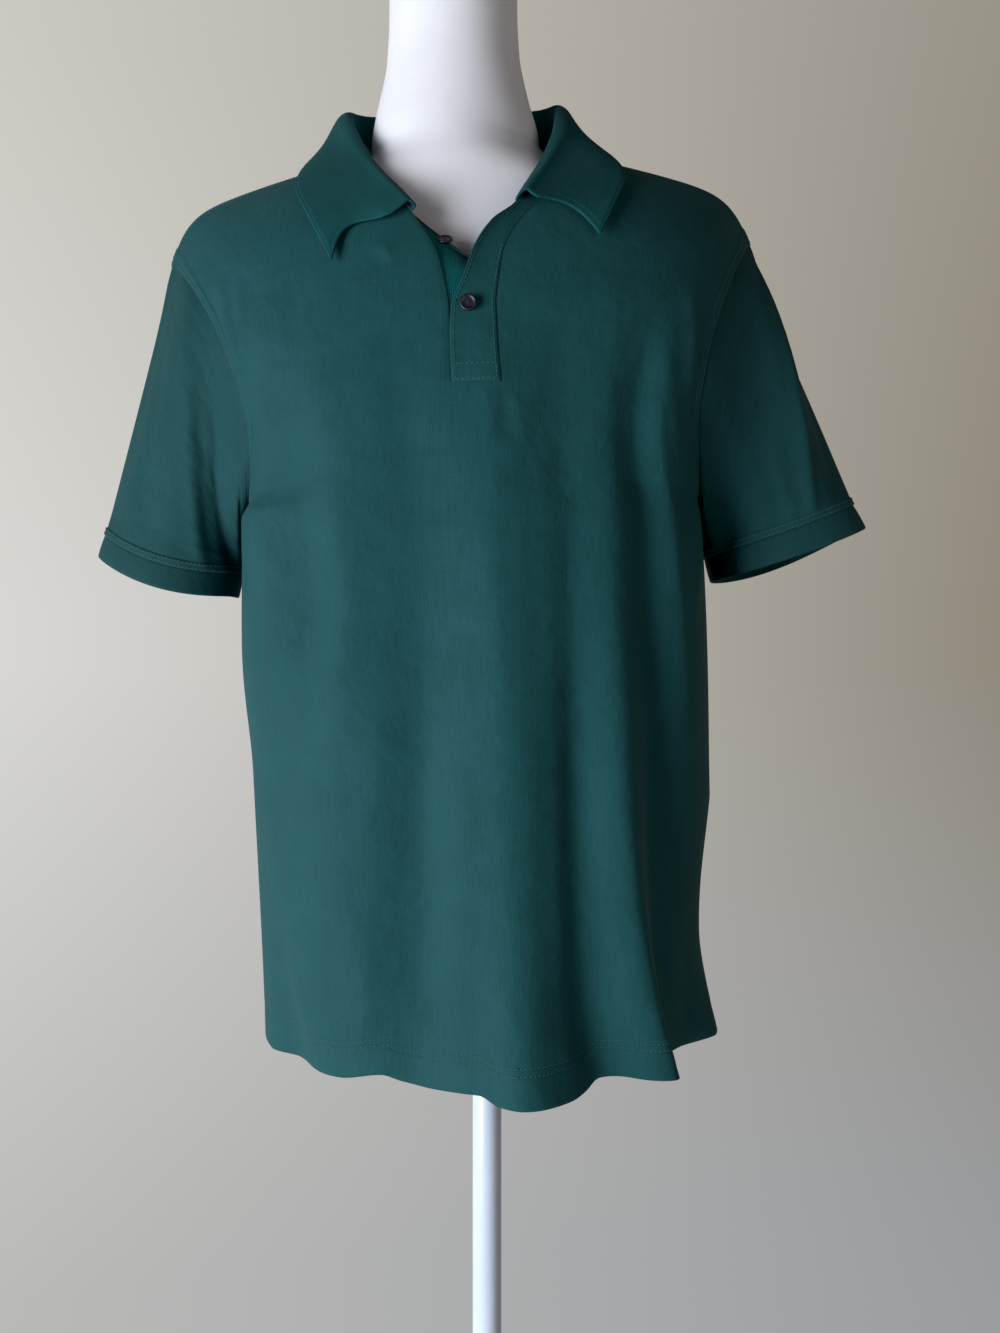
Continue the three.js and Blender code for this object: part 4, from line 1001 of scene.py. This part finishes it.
def collar_controls(u):
    """Control points of the collar's sections: up the stand, over the roll and down to the free edge."""
    side = np.where(u < 0, -1, 1)
    place = np.abs(u)
    v = mix(V_NAPE, V_NECK_CORNER, place)
    seam = torso(side, v, 0.0, False)
    along = torso(side, v - 6, 0.0, False) - seam
    rise = unit(np.cross(along, outward(side, v, 0.02)))
    rise = np.where(rise[:, 2:] < 0, -rise, rise)
    roll = roll_line(place)
    edge = free_edge(place)
    inner = by_side(side, CORNER_IN) * place**8
    lower = by_side(side, CORNER_DROP) * place**8
    top = leaned(points(side * (roll["x"] - inner), roll["y"], roll["z"] - lower))
    low = edge["v"] - by_side(side, POINT_DROP) * place**6
    share = edge["f"] + by_side(side, POINT_OUT) * place**6
    tip = torso(side, low, share, False) + outward(side, low, share) * (2 + edge["off"])[:, None]
    away = tip - seam
    away[:, 2] = 0
    away = unit(away)
    full = (3.2 + 5.5 * bump(place - 0.56, 0.2))[:, None]
    foot = seam + rise * 1.04 + np.array([0, 0, 0.4])
    stand = mix(foot, top, 0.5) - away * 1.5
    crown = top + away * full + np.array([0, 0, 1.6])
    shoulder = top + away * full * 1.9 - np.array([0, 0, 0.35]) * full
    middle = mix(shoulder, tip, 0.5) + away
    return np.stack([foot, stand, top, crown, shoulder, middle, tip], axis=1)


def collar_points(u, t):
    """A point of the collar at a place u along it and a share t of its width; its ends curve inwards."""
    dense = np.linspace(-1, 1, 321)
    sections = curve_through(collar_controls(dense), t)
    out = np.empty((len(u), len(t), 3))
    for n, share in enumerate(t):
        fall = np.clip((share - FREE_SHARE) / (1 - FREE_SHARE), 0, 1)
        for side in (-1, 1):
            inset, peak = END_INSET[side]
            power = math.log(0.5) / math.log((peak - FREE_SHARE) / (1 - FREE_SHARE))
            pull = inset * math.sin(math.pi * fall**power)
            mine = (u <= 0) if side < 0 else (u > 0)
            at = u[mine] * (1 - pull * np.abs(u[mine]) ** 3)
            for k in range(3):
                out[mine, n, k] = np.interp(at, dense, sections[:, n, k])
    return out


def collar():
    mesh = Mesh()
    u = np.unique(np.concatenate([np.linspace(0, 0.94, 76), np.linspace(0.94, 1, 13)]))
    u = np.concatenate([-u[::-1][:-1], u])
    t = np.unique(np.concatenate([np.linspace(0, 0.9, 46), np.linspace(0.9, 1, 12)]))
    places = collar_points(u, t)
    wide = COLLAR_HALF * u[:, None]
    deep = COLLAR_DEEP * t[None]
    mesh.grid(places, (wide + 0 * deep, deep + 0 * wide))
    near = np.minimum(COLLAR_DEEP - deep, COLLAR_HALF - np.abs(wide) + np.where(t[None] < 0.4, 99, 0))
    welt = 1 - smooth((near - WELT["wide"]) / 1.0)
    mesh.points = mesh.points + mesh.normals() * (WELT["high"] * welt).reshape(-1, 1)
    return mesh.walled(RIB)


# Placket


def band_point(x, z, off):
    """The place off the front's outer face at a height of the centre line and a width across."""
    row = front_stations(z)
    full = row["arc"] * 90 * DEGREES
    power = 2 / row["round"]
    across = np.maximum(0, np.abs(x) - row["xi"]) / (row["xo"] - row["xi"])
    turn = np.arcsin(np.sin(full) * across ** (1 / power))
    inward = (1 - cosine(turn) ** power) / (1 - cosine(full) ** power)
    fall = mix(across, across**12, row["drop"])
    y = mix(row["yi"], row["yo"], inward) - fold_height(x, z) - crease_height(x, z) - off
    return leaned(points(x, y, mix(z, row["zo"], fall)))


def band_place(table, z, share):
    """Where a share of a band's width lies at a height of its rows: across, up and out from the front."""
    edges = table(z)
    x = mix(edges["left"], edges["right"], share)
    off = mix(edges["leftOff"], edges["rightOff"], share**BAND_BEND)
    return x, z + edges["slant"] * (0.5 - share), off


def band_sheet(table, rows, columns):
    z = np.linspace(table.at[0], table.at[-1], rows + 1)[:, None]
    t = np.linspace(0, 1, columns + 1)[None]
    x, z, off = band_place(table, z, t)
    return Mesh().grid(band_point(x, z, off), (x, z))


def lathe(profile, count, name, material, slot=None, replaces=(), place=None, turn=None, ride=True):
    """A turned shape from a profile of radius and height, closed where the radius is nought."""
    mesh = Mesh()
    angle = np.linspace(0, 2 * math.pi, count, endpoint=False)
    rows = [points(r * np.cos(angle), r * np.sin(angle), np.full(count, z)) for r, z in profile]
    places = np.stack(rows)
    if turn is not None:
        places = places @ np.array(turn).T
    if place is not None:
        places = places + place
    flat = np.zeros((len(profile), count))
    mesh.grid(places, (angle * 10 + flat, flat), True)
    return mesh.capped(len(profile), count).build(name, material, slot, replaces, ride)


# Building the pieces

front = front_panel().build("front", JERSEY_CLOTH, "jersey", ["front_panel"])
back = back_panel().build("back", JERSEY_CLOTH, "jersey", ["back_panel"])
for name in ("right", "left"):
    sleeve_tube(name).build("sleeve_on_" + name, SHADED_SLEEVE_CLOTH, "jersey", ["sleeve_" + name])
    cuff_band(name).build("cuff_on_" + name, SHADED_CUFF_CLOTH, "jersey", ["cuff_" + name])
neck = collar().build("collar_leaf", COLLAR_CLOTH, "collar_knit", ["collar"])
upper_sheet = band_sheet(upper_band, 90, 24).walled(BAND_THICK)
lower_sheet = band_sheet(lower_band, 80, 24).walled(JERSEY)
upper = upper_sheet.build("placket_top", JERSEY_CLOTH, "jersey", ["placket_upper"])
lower = lower_sheet.build("placket_under", LIT_PIQUE_CLOTH, "pique", ["placket_lower"])


def form():
    mesh = Mesh()
    heights = [row[0] for row in FORM]
    z = np.unique(np.concatenate([heights, np.linspace(heights[0], heights[-1], 120)]))[:, None]
    turn = np.linspace(0, 2 * math.pi, 112, endpoint=False)[None]
    row = form_rings(z)
    power = 2 / row["round"]
    cosines = np.cos(turn)
    sines = np.sin(turn)
    x = np.sign(cosines) * np.abs(cosines) ** power * row["half"]
    y = np.sign(sines) * np.abs(sines) ** power * np.where(sines > 0, row["back"], row["front"])
    y = y * (1 - row["pinch"] * cosines**2)
    places = leaned(points(x, y, z + 0 * x))
    mesh.grid(places, (turn * 100 + 0 * z, z + 0 * turn), True)
    return mesh.capped(len(z), turn.size).build("form", FORM_SHELL, "form_shell", ["dress_form"])


form()
pole_foot = BASE_T + 0.3
pole_top = FORM[0][0] - 0.3
POLE_PROFILE = (
    (0.1, pole_foot), (POLE_R - 0.6, pole_foot), (POLE_R, BASE_T + 0.9), (POLE_R, 300), (POLE_R, 600),
    (POLE_R, pole_top - 0.9), (POLE_R - 0.6, pole_top), (0.1, pole_top),
)
BASE_PROFILE = (
    (0.1, 0), (BASE_R - 1.4, 0), (BASE_R - 0.4, 0.4), (BASE_R, 1.2), (BASE_R, BASE_T - 2),
    (BASE_R - 0.5, BASE_T - 0.8), (BASE_R - 1.6, BASE_T), (BASE_R - 8, BASE_T), (BASE_R * 0.5, BASE_T),
    (0.1, BASE_T),
)
lathe(POLE_PROFILE, 72, "stand_pole", STAND_PAINT, "stand_paint", ["pole"])
lathe(BASE_PROFILE, 144, "stand_base", STAND_PAINT, "stand_paint", ["base"])

# Sewing: short threads along their seams, a little sunk at both ends

STITCH = {"length": 2.5, "gap": 0.6, "radius": 0.3, "high": 0.14}
ARMHOLE_ROWS = (2.2, 6.4)
SHOULDER_ROWS = (2.2, 6.4)
CUFF_ROWS = (1.9, 5.6)
BAND_SIDES = (0.07, 0.94)


class Sewing:
    """Many short threads gathered into one mesh."""

    def __init__(self):
        self.mesh = Mesh()

    def thread(self, spine, normal, radius, shape=(0.5, 1, 1, 0.5)):
        """Threads of a few stations each: spine and normal are threads x stations x 3."""
        along = unit(np.gradient(spine, axis=1))
        side = unit(np.cross(along, normal))
        over = np.cross(side, along)
        turn = np.linspace(0, 2 * math.pi, 6, endpoint=False)
        wide = radius * np.array(shape)[None, :, None, None]
        around = np.cos(turn)[:, None] * side[:, :, None] + np.sin(turn)[:, None] * over[:, :, None]
        places = spine[:, :, None] + around * wide
        count, stations_each = spine.shape[:2]
        index = np.arange(count * stations_each * 6).reshape(count, stations_each, 6)
        nexts = np.roll(index, -1, axis=2)
        quads = np.stack([index[:, :-1], index[:, 1:], nexts[:, 1:], nexts[:, :-1]], axis=-1).reshape(-1, 4)
        self.mesh.add(places.reshape(-1, 3), [quads, index[:, 0], index[:, -1, ::-1]])

    def row(self, path, normal, radius=STITCH["radius"]):
        """A row of stitches along a dense path."""
        gap = STITCH["gap"]
        steps = np.linalg.norm(np.diff(path, axis=0), axis=1)
        far = np.concatenate([[0], np.cumsum(steps)])
        count = max(1, int(far[-1] / (STITCH["length"] + gap)))
        pitch = far[-1] / count
        start = np.arange(count)[:, None] * pitch
        at = start + np.array([0, 0.22, 0.78, 1.0]) * (pitch - gap) + gap / 2
        spine = np.stack([np.interp(at, far, path[:, k]) for k in range(3)], axis=-1)
        up = unit(np.stack([np.interp(at, far, normal[:, k]) for k in range(3)], axis=-1))
        lift = np.array([-0.12, STITCH["high"], STITCH["high"], -0.12])[None, :, None]
        self.thread(spine + up * lift, up, radius)

    def build(self, name, material):
        return self.mesh.build(name, material)


def torso_row(sewing, side, v, f):
    """Stitches along a curve of the torso, given by stations and shares."""
    v, f = np.broadcast_arrays(np.asarray(v, dtype=float), np.asarray(f, dtype=float))
    sewing.row(torso(side, v, f), outward(side, v, np.minimum(f, 0.985)))


def inset_share(side, v, distance):
    """The share across a panel that lies some distance inside the armhole's edge."""
    edge = torso(side, v, np.ones_like(v), False)
    near = torso(side, v, np.full_like(v, 0.97), False)
    return 1 - 0.03 * distance / np.linalg.norm(edge - near, axis=-1)


def hem_stitches():
    sewing = Sewing()
    share = np.linspace(0, 1, 240)
    for row in HEM_ROWS:
        for v in (row, V_BACK_HEM - row):
            for side in (-1, 1):
                torso_row(sewing, side, v, share)
        places, _ = front_centre(np.array([row]), 24)
        sewing.row(places[0], np.tile([[0.0, -1.0, 0.0]], (25, 1)))
    return sewing.build("hem_stitches", THREAD)


def body_seams():
    sewing = Sewing()
    for side in (-1, 1):
        v = np.linspace(V_UNDERARM + 10, V_BACK_UNDERARM - 14, 420)
        for distance in ARMHOLE_ROWS:
            torso_row(sewing, side, v, inset_share(side, v, distance))
        for distance in SHOULDER_ROWS:
            torso_row(sewing, side, V_SEAM[side] + distance, np.linspace(0.1, 0.94, 160))
    return sewing.build("body_seams", THREAD)


def cuff_seams(name):
    sewing = Sewing()
    turn = np.linspace(0, 2 * math.pi, 400)
    length = np.linalg.norm(sleeve_point(name, turn, 1.0) - sleeve_point(name, turn, 0.95), axis=-1) / 0.05
    sleeve = SLEEVES[name]
    middle = leaned(points(sleeve["side"] * sleeve["cx"], sleeve["cy"], sleeve["cz"]))
    for distance in CUFF_ROWS:
        places = sleeve_point(name, turn, 1 - distance / length)
        sewing.row(places, unit((places - middle) * np.array([1, 1, 0.1])))
    return sewing.build("cuff_seams_" + name, THREAD)


def placket_stitches():
    """Down both sides of the upper band, twice across its foot, and down the lower band."""
    sewing = Sewing()
    facing = np.tile([[0.0, -1.0, 0.0]], (160, 1))
    left, right = BAND_SIDES
    low, high = upper_band.at[0], upper_band.at[-1]
    rows = (
        (upper_band, low + 1.5, high - 2, left, left, STITCH["radius"]),
        (upper_band, low + 1.5, high - 50, right, right, STITCH["radius"]),
        (upper_band, low + 1.6, low + 1.6, left, right, STITCH["radius"]),
        (upper_band, low + 12, low + 12, left, right, STITCH["radius"]),
        (lower_band, lower_band.at[0] + 2, lower_band.at[-1] - 1, 0.05, 0.05, 0.22),
    )
    for table, bottom, top, start, end, radius in rows:
        place = band_place(table, np.linspace(bottom, top, 160), np.linspace(start, end, 160))
        sewing.row(band_point(*place), facing, radius)
    return sewing.build("placket_stitches", THREAD)


# The buttons, with a raised rim and four holes

BUTTONS = {
    "button_fastened": {"x": -2, "z": 1243, "off": 4.7, "lean": 0},
    "button_open": {"x": -15, "z": 1296, "off": -7.4, "lean": 45},
}
BUTTON_PROFILE = (
    (0.05, -1.2), (BUTTON_R * 0.7, -1.2), (BUTTON_R * 0.9, -0.7), (BUTTON_R, -0.2), (BUTTON_R, 0.5),
    (BUTTON_R * 0.97, 0.9), (BUTTON_R * 0.9, 1.15), (BUTTON_R * 0.82, 1.2), (BUTTON_R * 0.74, 1.05),
    (BUTTON_R * 0.64, 0.6), (BUTTON_R * 0.55, 0.48), (BUTTON_R * 0.3, 0.45), (0.05, 0.45),
)
HOLES_OUT = 1.25
ROLL_R = 1.0
HOLE_R = 0.55


def button_frame(place):
    """The middle of a button and its own three directions as a matrix, the last one its axis."""
    middle = band_point(np.array(place["x"]), np.array(place["z"]), place["off"])
    lean = place["lean"] * DEGREES
    axis = np.array([0, -math.cos(lean), math.sin(lean)])
    right = np.array([1.0, 0, 0])
    return middle, np.stack([right, np.cross(axis, right), axis], axis=1)


def build_button(name):
    middle, frame_of = button_frame(BUTTONS[name])
    disc = lathe(BUTTON_PROFILE, 48, name + "_disc", BUTTON_PLASTIC, "button", [name], middle, frame_of)
    holes = Mesh()
    thread = Sewing()
    corners = [np.array([math.cos(a), math.sin(a), 0]) * HOLES_OUT for a in np.radians([45, 135, 225, 315])]
    angle = np.linspace(0, 2 * math.pi, 16, endpoint=False)
    for corner in corners:
        ring_of = points(HOLE_R * np.cos(angle), HOLE_R * np.sin(angle), 0.47) + corner
        holes.add(ring_of @ frame_of.T + middle, [np.arange(16)[None]])
    for start, end in ((0, 2), (1, 3)):
        lift = np.array([0.4, 0.85, 0.85, 0.4])[:, None] * np.array([0, 0, 1.0])
        spine = mix(corners[start], corners[end], np.array([0, 0.25, 0.75, 1])[:, None]) + lift
        thread.thread((spine @ frame_of.T + middle)[None], np.tile(frame_of[:, 2], (1, 4, 1)), 0.3)
    shank = np.array([[0, 0, -3.0], [0, 0, -2.4], [0, 0, -1.6], [0, 0, -1.0]])
    across = np.tile(frame_of[:, 0], (1, 4, 1))
    thread.thread((shank @ frame_of.T + middle)[None], across, 1.3, (1, 0.9, 0.9, 1))
    holes = holes.build(name + "_holes", HOLE_SHADE, "button")
    return [disc, holes, thread.build(name + "_thread", DARK_THREAD_AND_SHADE)]


def neckline_shade_roll():
    """The rolled edge of the neck tape along the top of the lower band, coloured dark as painted shade along
    the neckline.
    """
    z, left, right, left_off, right_off, slant = LOWER_BAND[-1]
    share = np.linspace(-0.04, 1, 16)
    off = mix(left_off, right_off, np.maximum(share, 0) ** BAND_BEND)
    spine = band_point(mix(left, right, share), z + slant * (0.5 - share) + 0.5, off)
    roll = Sewing()
    ends = (0.5, *[1] * (len(spine) - 2), 0.5)
    roll.thread(spine[None], np.tile([0, -0.7, 0.7], (1, len(spine), 1)), ROLL_R, ends)
    return roll.build("neckline_shade_roll", DARK_THREAD_AND_SHADE)


hem_sewing = hem_stitches()
body_sewing = body_seams()
cuff_sewing = {name: cuff_seams(name) for name in SLEEVES}
placket_sewing = placket_stitches()
button_pieces = {name: build_button(name) for name in BUTTONS}
shaded_rolled_edge = neckline_shade_roll()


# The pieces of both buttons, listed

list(button_pieces["button_open"])
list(button_pieces["button_fastened"])

# Camera, light and floor

FLOOR_CLOTH = coated("floor", rgb(196, 194, 189), rgb(204, 202, 197), 0.7, 0.4, 0.0001)
FLOOR_EDGE = ((0.1, -1), (300, -1), (600, -1), (617, -1), (619, -1.1), (620, -1.6))
floor = lathe(FLOOR_EDGE, 96, "floor_disc", FLOOR_CLOTH, ride=False)

camera_data = bpy.data.cameras.new("camera")
camera_data.lens = 27.0
camera_data.sensor_width = 36.0
camera_data.sensor_fit = "AUTO"
camera = bpy.data.objects.new("camera", camera_data)
camera.location = (0.0104, -0.8, 1.0)
camera.rotation_euler = (math.radians(90), 0, 0)
bpy.context.scene.collection.objects.link(camera)
bpy.context.scene.camera = camera


def area_light(name, place, target, width, height, power, colour):
    data = bpy.data.lights.new(name, "AREA")
    data.shape = "RECTANGLE"
    data.size = width
    data.size_y = height
    data.energy = power
    data.color = colour
    light = bpy.data.objects.new(name, data)
    light.location = place
    way = np.array(target) - np.array(place)
    light.rotation_euler = mathutils.Vector(way).to_track_quat("-Z", "Y").to_euler()
    bpy.context.scene.collection.objects.link(light)


area_light("window", (-1.95, -1.6, 0.58), (0, 0, 0.9), 1.3, 1.5, 88, (0.9, 0.95, 1.0))
area_light("window_sill", (-1.0, -1.15, 0.35), (-0.05, -0.1, 0.8), 0.6, 0.6, 9, (0.9, 0.95, 1.0))
area_light("room_fill", (1.25, -1.5, 1.15), (0.05, 0, 1.1), 1.2, 1.2, 7.5, (1.0, 0.95, 0.88))

# The camera sees a plain wall with painted light on it: lighter on the left, where the window's light falls,
# and darker to the right; the room's light is dimmer in front of the object.

world = bpy.data.worlds.new("studio")
world.use_nodes = True
bpy.context.scene.world = world
tree = world.node_tree


def world_mix(share, a, b):
    return add_blend(tree, share, a, b)


def world_range(value, low, high):
    limits = {"Value": value, "From Min": low, "From Max": high}
    return add_node(tree, "ShaderNodeMapRange", limits).outputs[0]


direction = add_node(tree, "ShaderNodeTexCoord").outputs["Generated"]
heading = add_node(tree, "ShaderNodeSeparateXYZ", {0: direction})
to_right = world_range(heading.outputs[0], -0.45, 0.45)
low_half = world_range(heading.outputs[2], -0.5, 0.0)
high_half = world_range(heading.outputs[2], 0.05, 0.5)
left_low = world_mix(low_half, rgb(188, 188, 186), rgb(216, 215, 212))
left_wall = world_mix(high_half, left_low, rgb(206, 204, 197))
right_low = world_mix(low_half, rgb(152, 154, 158), rgb(145, 139, 126))
right_wall = world_mix(high_half, right_low, rgb(149, 143, 131))
wall = world_mix(to_right, left_wall, right_wall)
behind_camera = world_range(heading.outputs[1], 0.25, -0.25)
glow = world_mix(to_right, rgb(200, 201, 200), rgb(140, 133, 123))
room = world_mix(behind_camera, glow, rgb(44, 46, 48))
ceiling = world_range(heading.outputs[2], 0.2, 0.75)
room = world_mix(ceiling, room, rgb(60, 58, 56))
seen = add_node(tree, "ShaderNodeLightPath").outputs["Is Camera Ray"]
background = tree.nodes["Background"]
tree.links.new(world_mix(seen, room, wall), background.inputs["Color"])
background.inputs["Strength"].default_value = 1.0

view = bpy.context.scene.view_settings
view.view_transform = "Standard"
view.use_curve_mapping = True
view.curve_mapping.black_level = (0.0018, 0.0018, 0.0018)
